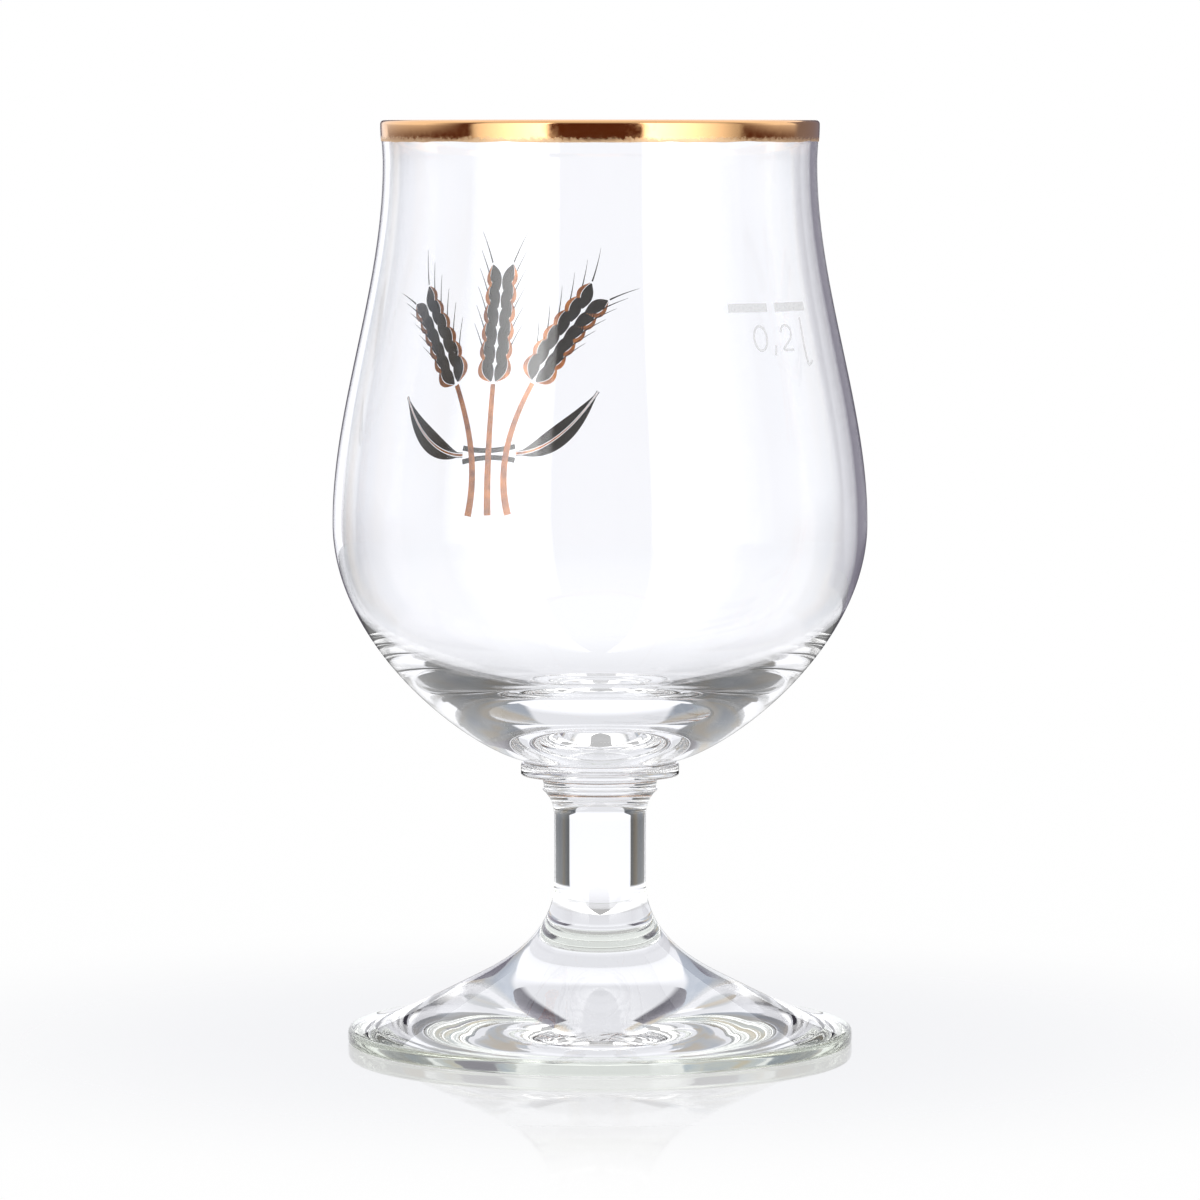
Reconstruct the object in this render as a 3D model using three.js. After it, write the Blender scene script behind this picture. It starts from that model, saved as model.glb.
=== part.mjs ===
// Tulip beer glass for 0.2 litre. Millimetres, +Z up, origin on the axis in the plane where the foot stands.
// Bowl, collar, stem and foot are clear glass, fused face to face. The gilt rim, the measure mark and the
// sheaf of barley are thin layers fired on the outside of the bowl.
import * as THREE from 'three';

// Heights of the four glass pieces, from the floor up
const FOOT_HEIGHT = 18.95;
const STEM_LENGTH = 19;
const COLLAR_THICKNESS = 1.8;
const BOWL_HEIGHT = 90.75;

// Foot: a pressed disc, hollow underneath, that rises to the stem in a trumpet
const FOOT_RADIUS = 35.8;
const FOOT_EDGE_HEIGHT = 2.15;
const FOOT_EDGE_ROUND = 0.8;
const FOOT_EDGE_SLOPE = 9;
const FOOT_EDGE_REACH = 4.9;
const FOOT_HOLLOW_DEPTH = 1.2;
const FOOT_RING_WIDTH = 4;
const SHOULDER_RADIUS = 19.15;
const SHOULDER_HEIGHT = 8.45;
const SHOULDER_SLOPE = 26.8;
const SHOULDER_REACH_IN = 4.7;
const SHOULDER_REACH_OUT = 8.75;

// Stem: a plain rod that flares into the foot, with a bead and a cove under the collar
const STEM_RADIUS = 6.5;
const STEM_FLARE_LENGTH = 3.9;
const STEM_FLARE_REACH = 8.45;
const BEAD_ROOT_STEP = 1.45;
const BEAD_PROUD = 0.2;
const BEAD_HEIGHT = 0.55;
const FILLET_HEIGHT = 3.7;
const FILLET_REACH = 2.35;
const COVE_SPREAD = 1.45;
const COVE_HEIGHT = 1.7;

// Collar: a wafer between the stem and the bowl
const COLLAR_OVERHANG = 1.8;
const COLLAR_EDGE_ROUND = 0.3;
const COLLAR_LEDGE = 0.1;

// Bowl: the outer wall runs from the weld over the belly and the neck to the lip
const WELD_HEIGHT = 0.45;
const WELD_SPREAD = 0.4;
const WELD_SLOPE = 14;
const WELD_REACH = 8.5;
const BELLY_RADIUS = 37.8;
const BELLY_RISE = 34;
const BELLY_REACH_DOWN = 17;
const BELLY_REACH_UP = 16.8;
const NECK_RADIUS = 30.6;
const NECK_DROP = 6;
const NECK_REACH_DOWN = 17.75;
const NECK_REACH_UP = 2;
const LIP_FLARE = 0.25;
const LIP_REACH = 2;

// Bowl: wall thicknesses, and the shape of the hollow's floor
const RIM_WALL = 1;
const BELLY_WALL = 1.3;
const BASE_THICKNESS = 6;
const HOLLOW_REACH_DOWN = 21.6;
const HOLLOW_REACH_OUT = 15.7;

// Fired layers on the bowl: how thick they are, and their clearance from the glass
const FILM_THICKNESS = 0.1;
const FILM_CLEARANCE = 0.06;
const GILT_WIDTH = 2.9;

// Measure mark: two bars, broken in the middle, over the figures 0,2 l
const MEASURE_DROP = 25.6;
const MEASURE_AZIMUTH = 45.4;
const BAR_LENGTH = 6.85;
const BAR_HEIGHT = 1.2;
const BAR_GAP = 1.55;
const FIGURE_DROP = 1.75;
const FIGURE_HEIGHT = 3.7;
const FIGURE_WIDTH = 2.6;
const FIGURE_STROKE = 0.35;
const FIGURE_SHIFT = 2.4;
const FIGURE_PITCH = 5.1;
const LITRE_PITCH = 3.75;
const COMMA_HEIGHT = 1.4;

// Strokes of the figure two and the letter l, in halves of a figure's width and height from its centre
const TWO_STROKE = [
  [-1, 0.45], [-0.6, 0.9], [0.1, 1], [0.85, 0.7], [0.75, 0], [0, -0.45], [-0.85, -0.9], [-0.3, -1], [1, -1],
];
const LITRE_STROKE = [[-0.1, 1.6], [-0.1, -0.4], [0, -1.7], [0.3, -2.3], [1.1, -2]];

// Sheaf of barley: three ears on three stalks, two leaves and a tie
const SHEAF_AZIMUTH = 206.7;
const SHEAF_DROP = 40.2;
const SHEAF_FOOT = -17.7;
const TIE_HEIGHT = -8.8;
const TIE_LENGTH = 8.4;
const TIE_WIDTH = 1.8;
const STALK_WIDTH = 1.1;
const STALK_SPREAD_FOOT = 3.2;
const STALK_SPREAD_TIE = 0.9;
const STALK_SPREAD_TOP = 6.4;
const STALK_TOP = 1.5;
const EAR_GAP = 0.4;
const EAR_WIDTH = 5.2;
const EAR_TOP = 18.1;
const EAR_DROP_OUTER = 4;
const EAR_SPREAD = 16;
const EAR_GRAINS = 6;
const EAR_NOTCH = 0.3;
const LEAF_WIDTH = 3.2;
const LEAF_CLEARANCE = 1.1;
const LEAF_SPREAD = 16.5;
const LEAF_RISE = 9;
const TIP_WIDTH = 0.4;

// Fineness of the facets
const TURN_SEGMENTS = 48;
const CURVE_STEPS = 8;
const ROUND_STEPS = 2;
const LIP_STEPS = 4;
const WALL_SAMPLES = 300;
const STRIP_STEPS = 12;
const EAR_STEPS = 24;
const STRIP_LANES = 2;
const SAME_POINT = 1e-4;

// Radii and planes where the pieces meet
const BEAD_ROOT_RADIUS = STEM_RADIUS + BEAD_ROOT_STEP;
const COVE_RADIUS = BEAD_ROOT_RADIUS + COVE_SPREAD;
const COLLAR_RADIUS = COVE_RADIUS + COLLAR_OVERHANG;
const BOWL_BASE_RADIUS = COLLAR_RADIUS - COLLAR_EDGE_ROUND - COLLAR_LEDGE;
const LIP_RADIUS = NECK_RADIUS + LIP_FLARE;
const COLLAR_Z = FOOT_HEIGHT + STEM_LENGTH;
const BOWL_Z = COLLAR_Z + COLLAR_THICKNESS;
const RIM_Z = BOWL_Z + BOWL_HEIGHT;
const BELLY_Z = BOWL_Z + BELLY_RISE;
const NECK_Z = RIM_Z - NECK_DROP;
const LIP_ROUND = RIM_WALL / 2;
const LIP_Z = RIM_Z - LIP_ROUND;

const clearGlass = new THREE.MeshStandardMaterial({
  color: 0xf1f4f3, roughness: 0.04, metalness: 0, transparent: true, opacity: 0.35,
});
const burnishedGilt = new THREE.MeshStandardMaterial({ color: 0xb9762f, roughness: 0.18, metalness: 1 });
const frostedEnamel = new THREE.MeshStandardMaterial({ color: 0xdcdcdc, roughness: 0.7, metalness: 0 });
const blackEnamel = new THREE.MeshStandardMaterial({ color: 0x17120f, roughness: 0.35, metalness: 0 });
const copperLustre = new THREE.MeshStandardMaterial({ color: 0xa85f2a, roughness: 0.35, metalness: 1 });

const at = (radius, height) => new THREE.Vector2(radius, height);
const bezier = (start, startHandle, endHandle, end) =>
  new THREE.CubicBezierCurve(start, startHandle, endHandle, end);

/** A point that lies a given reach from another, downhill at a slope in degrees below the horizontal. */
function downhill(point, reach, slope) {
  const angle = THREE.MathUtils.degToRad(slope);
  return at(point.x + reach * Math.cos(angle), point.y - reach * Math.sin(angle));
}

/** Points along part of a curve, from one parameter to another. */
function sample(curve, from, to, steps) {
  const parameter = (i) => THREE.MathUtils.lerp(from, to, i / steps);
  return Array.from({ length: steps + 1 }, (_, i) => curve.getPoint(parameter(i)));
}

/** Points along an arc around a centre, from one angle to another, in radians. */
function arc(centre, radius, from, to, steps) {
  return sample(new THREE.EllipseCurve(centre.x, centre.y, radius, radius, from, to, from > to), 0, 1, steps);
}

/** The parameter at which a falling curve passes a height, found by halving. */
function parameterAtHeight(curve, height) {
  let reached = 0;
  for (let step = 0.5; reached + step > reached; step /= 2) {
    if (curve.getPoint(reached + step).y > height) reached += step;
  }
  return reached;
}

/** A solid turned around Z from its outline, with neighbouring points that coincide taken once. */
function turned(outline) {
  const points = outline.filter((point, i) => i === 0 || point.distanceTo(outline[i - 1]) > SAME_POINT);
  const geometry = new THREE.LatheGeometry(points, TURN_SEGMENTS);
  geometry.rotateX(Math.PI / 2);
  return geometry;
}

// The trumpet is one curve from the stem's plain rod to the foot's shoulder, cut where the two pieces meet
const waist = at(STEM_RADIUS, FOOT_HEIGHT + STEM_FLARE_LENGTH);
const shoulder = at(SHOULDER_RADIUS, SHOULDER_HEIGHT);
const trumpet = bezier(
  waist,
  at(waist.x, waist.y - STEM_FLARE_REACH),
  downhill(shoulder, -SHOULDER_REACH_IN, SHOULDER_SLOPE),
  shoulder,
);
const trumpetCut = parameterAtHeight(trumpet, FOOT_HEIGHT);

function footOutline() {
  const ringInner = at(FOOT_RADIUS - FOOT_EDGE_ROUND / 2 - FOOT_RING_WIDTH, 0);
  const ringOuter = at(FOOT_RADIUS - FOOT_EDGE_ROUND / 2, 0);
  const hollow = new THREE.QuadraticBezierCurve(
    at(0, FOOT_HOLLOW_DEPTH), at(ringInner.x / 2, FOOT_HOLLOW_DEPTH), ringInner,
  );
  const edgeTop = at(FOOT_RADIUS - FOOT_EDGE_ROUND, FOOT_EDGE_HEIGHT);
  const turnOver = new THREE.QuadraticBezierCurve(
    at(FOOT_RADIUS, edgeTop.y - FOOT_EDGE_ROUND), at(FOOT_RADIUS, edgeTop.y), edgeTop,
  );
  const disc = bezier(
    edgeTop,
    downhill(edgeTop, -FOOT_EDGE_REACH, FOOT_EDGE_SLOPE),
    downhill(shoulder, SHOULDER_REACH_OUT, SHOULDER_SLOPE),
    shoulder,
  );
  return [
    ...sample(hollow, 0, 1, CURVE_STEPS / 2),
    ...arc(at(ringOuter.x, FOOT_EDGE_ROUND / 2), FOOT_EDGE_ROUND / 2, -Math.PI / 2, 0, ROUND_STEPS),
    ...sample(turnOver, 0, 1, ROUND_STEPS),
    ...sample(disc, 0, 1, CURVE_STEPS),
    ...sample(trumpet, 1, trumpetCut, CURVE_STEPS),
    at(0, FOOT_HEIGHT),
  ];
}

function stemOutline() {
  const beadTop = COLLAR_Z - COVE_HEIGHT;
  const beadBottom = beadTop - BEAD_HEIGHT;
  const filletBottom = beadBottom - FILLET_HEIGHT;
  const fillet = new THREE.QuadraticBezierCurve(
    at(STEM_RADIUS, filletBottom),
    at(STEM_RADIUS, filletBottom + FILLET_REACH),
    at(BEAD_ROOT_RADIUS, beadBottom),
  );
  const bead = new THREE.QuadraticBezierCurve(
    at(BEAD_ROOT_RADIUS, beadBottom),
    at(BEAD_ROOT_RADIUS + 2 * BEAD_PROUD, (beadBottom + beadTop) / 2),
    at(BEAD_ROOT_RADIUS, beadTop),
  );
  const cove = new THREE.QuadraticBezierCurve(
    at(BEAD_ROOT_RADIUS, beadTop), at(BEAD_ROOT_RADIUS, COLLAR_Z), at(COVE_RADIUS, COLLAR_Z),
  );
  return [
    at(0, FOOT_HEIGHT),
    ...sample(trumpet, trumpetCut, 0, ROUND_STEPS),
    ...sample(fillet, 0, 1, LIP_STEPS),
    ...sample(bead, 0, 1, LIP_STEPS),
    ...sample(cove, 0, 1, LIP_STEPS),
    at(0, COLLAR_Z),
  ];
}

function collarOutline() {
  const edge = COLLAR_RADIUS - COLLAR_EDGE_ROUND;
  return [
    at(0, COLLAR_Z),
    ...arc(at(edge, COLLAR_Z + COLLAR_EDGE_ROUND), COLLAR_EDGE_ROUND, -Math.PI / 2, 0, ROUND_STEPS),
    ...arc(at(edge, BOWL_Z - COLLAR_EDGE_ROUND), COLLAR_EDGE_ROUND, 0, Math.PI / 2, ROUND_STEPS),
    at(0, BOWL_Z),
  ];
}

// The bowl's outer wall, from the weld on the collar up to the lip
const weldTop = at(BOWL_BASE_RADIUS + WELD_SPREAD, BOWL_Z + WELD_HEIGHT);
const belly = at(BELLY_RADIUS, BELLY_Z);
const neck = at(NECK_RADIUS, NECK_Z);
const lip = at(LIP_RADIUS, LIP_Z);
const outerWall = [
  bezier(weldTop, downhill(weldTop, WELD_REACH, -WELD_SLOPE), at(belly.x, belly.y - BELLY_REACH_DOWN), belly),
  bezier(belly, at(belly.x, belly.y + BELLY_REACH_UP), at(neck.x, neck.y - NECK_REACH_DOWN), neck),
  bezier(neck, at(neck.x, neck.y + NECK_REACH_UP), at(lip.x, lip.y - LIP_REACH), lip),
];

function bowlOutline() {
  const innerLip = at(LIP_RADIUS - RIM_WALL, LIP_Z);
  const innerNeck = at(NECK_RADIUS - RIM_WALL, NECK_Z);
  const innerBelly = at(BELLY_RADIUS - BELLY_WALL, BELLY_Z);
  const floor = at(0, BOWL_Z + BASE_THICKNESS);
  const hollow = [
    bezier(
      innerLip,
      at(innerLip.x, innerLip.y - LIP_REACH),
      at(innerNeck.x, innerNeck.y + NECK_REACH_UP),
      innerNeck,
    ),
    bezier(
      innerNeck,
      at(innerNeck.x, innerNeck.y - NECK_REACH_DOWN),
      at(innerBelly.x, innerBelly.y + BELLY_REACH_UP),
      innerBelly,
    ),
    bezier(
      innerBelly,
      at(innerBelly.x, innerBelly.y - HOLLOW_REACH_DOWN),
      at(HOLLOW_REACH_OUT, floor.y),
      floor,
    ),
  ];
  const [lower, upper, lipStretch] = outerWall;
  return [
    at(0, BOWL_Z),
    at(BOWL_BASE_RADIUS, BOWL_Z),
    ...sample(lower, 0, 1, CURVE_STEPS),
    ...sample(upper, 0, 1, CURVE_STEPS),
    ...sample(lipStretch, 0, 1, ROUND_STEPS),
    ...arc(at(LIP_RADIUS - LIP_ROUND, LIP_Z), LIP_ROUND, 0, Math.PI, LIP_STEPS),
    ...sample(hollow[0], 0, 1, ROUND_STEPS),
    ...sample(hollow[1], 0, 1, CURVE_STEPS),
    ...sample(hollow[2], 0, 1, CURVE_STEPS),
  ];
}

const wallPoints = outerWall.flatMap((curve) => curve.getPoints(WALL_SAMPLES));

/** The bowl's outer radius at a height, and the wall's outward normal there. */
function wallAt(height) {
  const above = wallPoints.findIndex((point, i) => i > 0 && point.y > height);
  const upper = wallPoints[above];
  const lower = wallPoints[above - 1];
  const share = (height - lower.y) / (upper.y - lower.y);
  const along = upper.clone().sub(lower).normalize();
  return { radius: THREE.MathUtils.lerp(lower.x, upper.x, share), normal: at(along.y, -along.x) };
}

/** The gilt band's inner or outer face: up the outside of the lip and over its round edge. */
function giltFace(lift) {
  const low = RIM_Z - GILT_WIDTH;
  const wall = Array.from({ length: ROUND_STEPS }, (_, i) => {
    const height = THREE.MathUtils.lerp(low, LIP_Z, i / ROUND_STEPS);
    return at(wallAt(height).radius + lift, height);
  });
  return [...wall, ...arc(at(LIP_RADIUS - LIP_ROUND, LIP_Z), LIP_ROUND + lift, 0, Math.PI, LIP_STEPS)];
}

function giltOutline() {
  const inner = giltFace(FILM_CLEARANCE);
  const outer = giltFace(FILM_CLEARANCE + FILM_THICKNESS);
  return [...outer, ...inner.reverse(), outer[0].clone()];
}

/** A patch of the bowl's outside: azimuth in degrees from -Y towards +X, and the height of its centre. */
function patchOfBowl(azimuth, height) {
  return { azimuth: THREE.MathUtils.degToRad(azimuth), height, radius: wallAt(height).radius };
}

/** Bends a flat layer on to a patch: x runs around the bowl, y up it, and z out from the glass. */
function bendOnto(patch, geometry) {
  const position = geometry.attributes.position;
  for (let i = 0; i < position.count; i += 1) {
    const height = patch.height + position.getY(i);
    const wall = wallAt(height);
    const lift = position.getZ(i);
    const radius = wall.radius + wall.normal.x * lift;
    const azimuth = patch.azimuth + position.getX(i) / patch.radius;
    position.setXYZ(
      i,
      radius * Math.sin(azimuth),
      -radius * Math.cos(azimuth),
      height + wall.normal.y * lift,
    );
  }
  return geometry;
}

/** A flat strip along a plane curve, with a width that varies along it, lifted clear of the glass. */
function strip(curve, widthAt, steps, lift) {
  const geometry = new THREE.BoxGeometry(1, 1, FILM_THICKNESS, steps, STRIP_LANES, 1);
  const position = geometry.attributes.position;
  for (let i = 0; i < position.count; i += 1) {
    const along = THREE.MathUtils.clamp(position.getX(i) + 0.5, 0, 1);
    const across = position.getY(i) * widthAt(along);
    const point = curve.getPoint(along);
    const tangent = curve.getTangent(along);
    position.setXYZ(
      i,
      point.x - tangent.y * across,
      point.y + tangent.x * across,
      lift + FILM_THICKNESS / 2 + position.getZ(i),
    );
  }
  return geometry;
}

const line = (fromX, fromY, toX, toY) => new THREE.LineCurve(at(fromX, fromY), at(toX, toY));
const evenWidth = (width) => () => width;

const glass = new THREE.Group();

function addPiece(name, geometry, material) {
  const mesh = new THREE.Mesh(geometry, material);
  mesh.name = name;
  glass.add(mesh);
}

function addMeasureMark() {
  const patch = patchOfBowl(MEASURE_AZIMUTH, RIM_Z - MEASURE_DROP);
  const addStroke = (name, curve, width, steps = STRIP_STEPS) => {
    addPiece(name, bendOnto(patch, strip(curve, evenWidth(width), steps, FILM_CLEARANCE)), frostedEnamel);
  };
  addStroke('measure_bar_left', line(-BAR_GAP / 2 - BAR_LENGTH, 0, -BAR_GAP / 2, 0), BAR_HEIGHT);
  addStroke('measure_bar_right', line(BAR_GAP / 2, 0, BAR_GAP / 2 + BAR_LENGTH, 0), BAR_HEIGHT);

  // Each figure fills a box of FIGURE_WIDTH by FIGURE_HEIGHT; the strokes run half a stroke inside it
  const inset = FIGURE_STROKE / 2;
  const top = -BAR_HEIGHT / 2 - FIGURE_DROP - inset;
  const bottom = top - FIGURE_HEIGHT + FIGURE_STROKE;
  const halfWidth = FIGURE_WIDTH / 2 - inset;
  const halfHeight = (top - bottom) / 2;
  const middle = (top + bottom) / 2;
  const column = [FIGURE_SHIFT - FIGURE_PITCH, FIGURE_SHIFT, FIGURE_SHIFT + LITRE_PITCH];

  const ring = new THREE.Shape();
  ring.absellipse(column[0], middle, halfWidth + inset, halfHeight + inset, 0, 2 * Math.PI);
  const eye = new THREE.Path();
  eye.absellipse(column[0], middle, halfWidth - inset, halfHeight - inset, 0, 2 * Math.PI, true);
  ring.holes.push(eye);
  const zero = new THREE.ExtrudeGeometry(ring, {
    depth: FILM_THICKNESS, bevelEnabled: false, curveSegments: STRIP_STEPS,
  });
  zero.translate(0, 0, FILM_CLEARANCE);
  addPiece('figure_zero', bendOnto(patch, zero), frostedEnamel);

  const commaX = (column[0] + column[1]) / 2;
  const comma = line(commaX + inset, bottom + COMMA_HEIGHT / 2, commaX - inset, bottom - COMMA_HEIGHT / 2);
  addStroke('decimal_comma', comma, FIGURE_STROKE);

  const written = (index, stroke) => new THREE.SplineCurve(
    stroke.map(([across, up]) => at(column[index] + across * halfWidth, middle + up * halfHeight)),
  );
  addStroke('figure_two', written(1, TWO_STROKE), FIGURE_STROKE, EAR_STEPS);
  addStroke('litre_letter', written(2, LITRE_STROKE), FIGURE_STROKE);
}

function addBarleySheaf() {
  const patch = patchOfBowl(SHEAF_AZIMUTH, RIM_Z - SHEAF_DROP);
  const addStrip = (name, curve, widthAt, steps, lift, material) => {
    addPiece(name, bendOnto(patch, strip(curve, widthAt, steps, lift)), material);
  };
  // An ear swells from its foot and narrows to its tip, notched between one pair of grains and the next
  const earWidth = (along) => {
    const swell = Math.sqrt(Math.sin(Math.PI * along));
    const notch = 1 - EAR_NOTCH * Math.abs(Math.cos(Math.PI * EAR_GRAINS * along));
    return Math.max(TIP_WIDTH, EAR_WIDTH * swell * notch);
  };
  const leafWidth = (along) => Math.max(TIP_WIDTH, LEAF_WIDTH * Math.sin(Math.PI * along));

  for (const [side, name] of [[-1, 'left'], [0, 'centre'], [1, 'right']]) {
    const stalk = new THREE.QuadraticBezierCurve(
      at(side * STALK_SPREAD_FOOT, SHEAF_FOOT),
      at(side * STALK_SPREAD_TIE, TIE_HEIGHT),
      at(side * STALK_SPREAD_TOP, STALK_TOP),
    );
    const outward = stalk.getTangent(1);
    const earFoot = stalk.getPoint(1).addScaledVector(outward, EAR_GAP);
    const earTip = at(side * EAR_SPREAD, EAR_TOP - Math.abs(side) * EAR_DROP_OUTER);
    const bow = earFoot.clone().addScaledVector(outward, earTip.distanceTo(earFoot) / 2);
    const ear = new THREE.QuadraticBezierCurve(earFoot, bow, earTip);
    const stalkWidth = evenWidth(STALK_WIDTH);
    addStrip(`barley_stalk_${name}`, stalk, stalkWidth, STRIP_STEPS, FILM_CLEARANCE, copperLustre);
    addStrip(`barley_ear_${name}`, ear, earWidth, EAR_STEPS, FILM_CLEARANCE, blackEnamel);
  }
  for (const [side, name] of [[-1, 'left'], [1, 'right']]) {
    const root = at(side * (STALK_SPREAD_FOOT + LEAF_CLEARANCE), TIE_HEIGHT);
    const tip = at(side * LEAF_SPREAD, TIE_HEIGHT + LEAF_RISE);
    const leaf = new THREE.QuadraticBezierCurve(root, at((root.x + tip.x) / 2, TIE_HEIGHT), tip);
    addStrip(`barley_leaf_${name}`, leaf, leafWidth, STRIP_STEPS, FILM_CLEARANCE, blackEnamel);
  }
  const overStalks = 2 * FILM_CLEARANCE + FILM_THICKNESS;
  const tie = line(-TIE_LENGTH / 2, TIE_HEIGHT, TIE_LENGTH / 2, TIE_HEIGHT);
  addStrip('barley_tie', tie, evenWidth(TIE_WIDTH), STRIP_STEPS, overStalks, blackEnamel);
}

addPiece('foot', turned(footOutline()), clearGlass);
addPiece('stem', turned(stemOutline()), clearGlass);
addPiece('collar', turned(collarOutline()), clearGlass);
addPiece('bowl', turned(bowlOutline()), clearGlass);
addPiece('gilt_rim', turned(giltOutline()), burnishedGilt);
addMeasureMark();
addBarleySheaf();

export default glass;
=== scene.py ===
"""Tulip beer glass on a white table: fused clear glass, a gilt rim, a measure mark and a fired sheaf of barley.

Sizes are in millimetres and become metres when a mesh is made. Outlines are (radius, height) pairs, and an azimuth
runs from -Y, the side of the camera, towards +X.
"""
import logging
import math
from dataclasses import dataclass, field
from enum import Enum, IntEnum
from functools import partial
from typing import Any, Callable, ClassVar, Sequence

import bpy
import numpy as np
from bpy.types import ID, Material, Mesh, Node, NodeSocket, NodeTree, Object, World
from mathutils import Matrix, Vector


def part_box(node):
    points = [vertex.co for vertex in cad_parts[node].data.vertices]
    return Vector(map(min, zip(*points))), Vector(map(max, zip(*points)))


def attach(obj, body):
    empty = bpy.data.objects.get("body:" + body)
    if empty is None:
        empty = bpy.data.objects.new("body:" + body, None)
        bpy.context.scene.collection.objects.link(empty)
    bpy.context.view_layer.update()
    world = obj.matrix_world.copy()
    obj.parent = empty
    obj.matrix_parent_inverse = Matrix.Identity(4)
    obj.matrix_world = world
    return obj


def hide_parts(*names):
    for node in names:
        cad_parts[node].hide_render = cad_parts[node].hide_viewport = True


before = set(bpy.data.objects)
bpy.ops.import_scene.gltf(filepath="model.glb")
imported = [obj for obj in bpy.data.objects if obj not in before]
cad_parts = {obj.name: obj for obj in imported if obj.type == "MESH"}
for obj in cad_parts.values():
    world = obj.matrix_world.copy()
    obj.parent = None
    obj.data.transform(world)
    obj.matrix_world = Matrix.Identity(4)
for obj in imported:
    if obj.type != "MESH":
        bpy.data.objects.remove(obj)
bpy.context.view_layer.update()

LOG = logging.getLogger("tulip_glass")
MM = 0.001
BODY = "root"
TURNS = 192
ON_AXIS = 1e-6
SEED = 7
Array = np.ndarray
Pair = tuple[float, float]
Colour = tuple[float, float, float, float]


# Colours, nodes and objects


def linear(colour: str) -> Colour:
    """Turns an sRGB hex colour to linear light.

    Args:
        colour: Six hex digits after a hash.

    Returns:
        Red, green, blue and alpha as Blender's sockets take them.
    """
    coded = np.array([int(colour[i:i + 2], 16) for i in (1, 3, 5)]) / 255
    light = np.where(coded <= 0.04045, coded / 12.92, ((coded + 0.055) / 1.055) ** 2.4)
    return (*light.tolist(), 1.0)


def grey(level: float) -> Colour:
    """A neutral colour of that linear level."""
    return (level, level, level, 1.0)


def add_node(tree: NodeTree, kind: str, *values: Any, named: dict[str, Any] | None = None, **settings: Any) -> Node:
    """Adds a shader node with its settings, values and links.

    Args:
        tree: The node tree that it goes into.
        kind: The node's type name without its prefix.
        values: What its open inputs get, in order: a value, a socket, or a node, whose first open output feeds it.
        named: The same for inputs that are called by their names.
        settings: The node's own properties.

    Returns:
        The new node.
    """
    node = tree.nodes.new(f"ShaderNode{kind}")
    for name, value in settings.items():
        setattr(node, name, value)
    sockets = [socket for socket in node.inputs if socket.enabled]
    given = [*zip(sockets, values), *((node.inputs[name], value) for name, value in (named or {}).items())]
    for socket, value in given:
        if isinstance(value, Node):
            value = next(output for output in value.outputs if output.enabled)
        if isinstance(value, NodeSocket):
            tree.links.new(value, socket)
        else:
            socket.default_value = value
    return node


def give_nodes(owner: Material | World, shade: Callable[[NodeTree], Node]) -> None:
    """Gives a material or a world its nodes in place of the ones that it came with.

    Args:
        owner: What gets them.
        shade: Adds them to a tree and returns the shader that they end in.
    """
    owner.use_nodes = True
    tree = owner.node_tree
    tree.nodes.clear()
    add_node(tree, "OutputWorld" if isinstance(owner, World) else "OutputMaterial", shade(tree))


def add_object(data: ID) -> Object:
    """Puts a mesh or a camera into the scene.

    Args:
        data: The mesh or camera.

    Returns:
        The new object, which takes its name.
    """
    made = bpy.data.objects.new(data.name, data)
    bpy.context.scene.collection.objects.link(made)
    return made


def per_mm(size: float) -> float:
    """The scale of a noise on Object coordinates whose features are that many millimetres across."""
    return 1 / (size * MM)


# Curves and surfaces


def bezier(controls: Sequence[Pair], steps: int, start: float = 0.0, stop: float = 1.0) -> Array:
    """Points on a Bezier curve: each control point times its Bernstein polynomial, added up.

    Args:
        controls: Control points, two more than the curve has handles.
        steps: Number of equal parameter steps.
        start: First parameter.
        stop: Last parameter.

    Returns:
        An array of steps + 1 points.
    """
    t = np.linspace(start, stop, steps + 1)
    degree = len(controls) - 1
    shares = [math.comb(degree, k) * t ** k * (1 - t) ** (degree - k) for k in range(degree + 1)]
    return np.stack(shares, axis=1) @ np.asarray(controls, float)


def arc(centre: Pair, radius: float, start: float, stop: float, steps: int) -> Array:
    """Points on a circle's arc: the centre plus the radius times (cos a, sin a), with a in degrees."""
    angle = np.radians(np.linspace(start, stop, steps + 1))
    return np.asarray(centre) + radius * np.stack([np.cos(angle), np.sin(angle)], axis=1)


def downhill(point: Pair, reach: float, slope: float) -> Pair:
    """The point that lies a reach further out, downhill at a slope in degrees."""
    angle = math.radians(slope)
    return point[0] + reach * math.cos(angle), point[1] - reach * math.sin(angle)


def headings(path: Array, closed: bool = False) -> tuple[Array, Array]:
    """Unit directions along a flat path, from the differences of neighbours, and the same turned a quarter left.

    Args:
        path: The path's points.
        closed: Whether it runs back to its start.

    Returns:
        The directions, and the turned ones.
    """
    run = np.roll(path, -1, axis=0) - np.roll(path, 1, axis=0) if closed else np.gradient(path, axis=0)
    run = run / np.linalg.norm(run, axis=1, keepdims=True)
    return run, np.stack([-run[:, 1], run[:, 0]], axis=1)


class Face(IntEnum):
    """What a stretch of an outline is, which is also its material's slot."""

    WALL = 0
    JOINT = 1


@dataclass(frozen=True)
class Stretch:
    """A smooth run of an outline, from the lower end of the axis round the outside to its upper end."""

    points: Array
    face: Face = Face.WALL

    def normals(self) -> Array:
        """Outward normals: the run (dr, dz) turned a quarter to (dz, -dr), of unit length.

        Returns:
            One normal for each point.
        """
        run = np.gradient(self.points, axis=0, edge_order=min(2, len(self.points) - 1))
        turned = np.stack([run[:, 1], -run[:, 0]], axis=1)
        return turned / np.linalg.norm(turned, axis=1, keepdims=True)


def straight(start: Pair, stop: Pair, face: Face = Face.WALL, steps: int = 1) -> Stretch:
    """A straight run of an outline."""
    return Stretch(np.linspace(start, stop, steps + 1), face)


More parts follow.
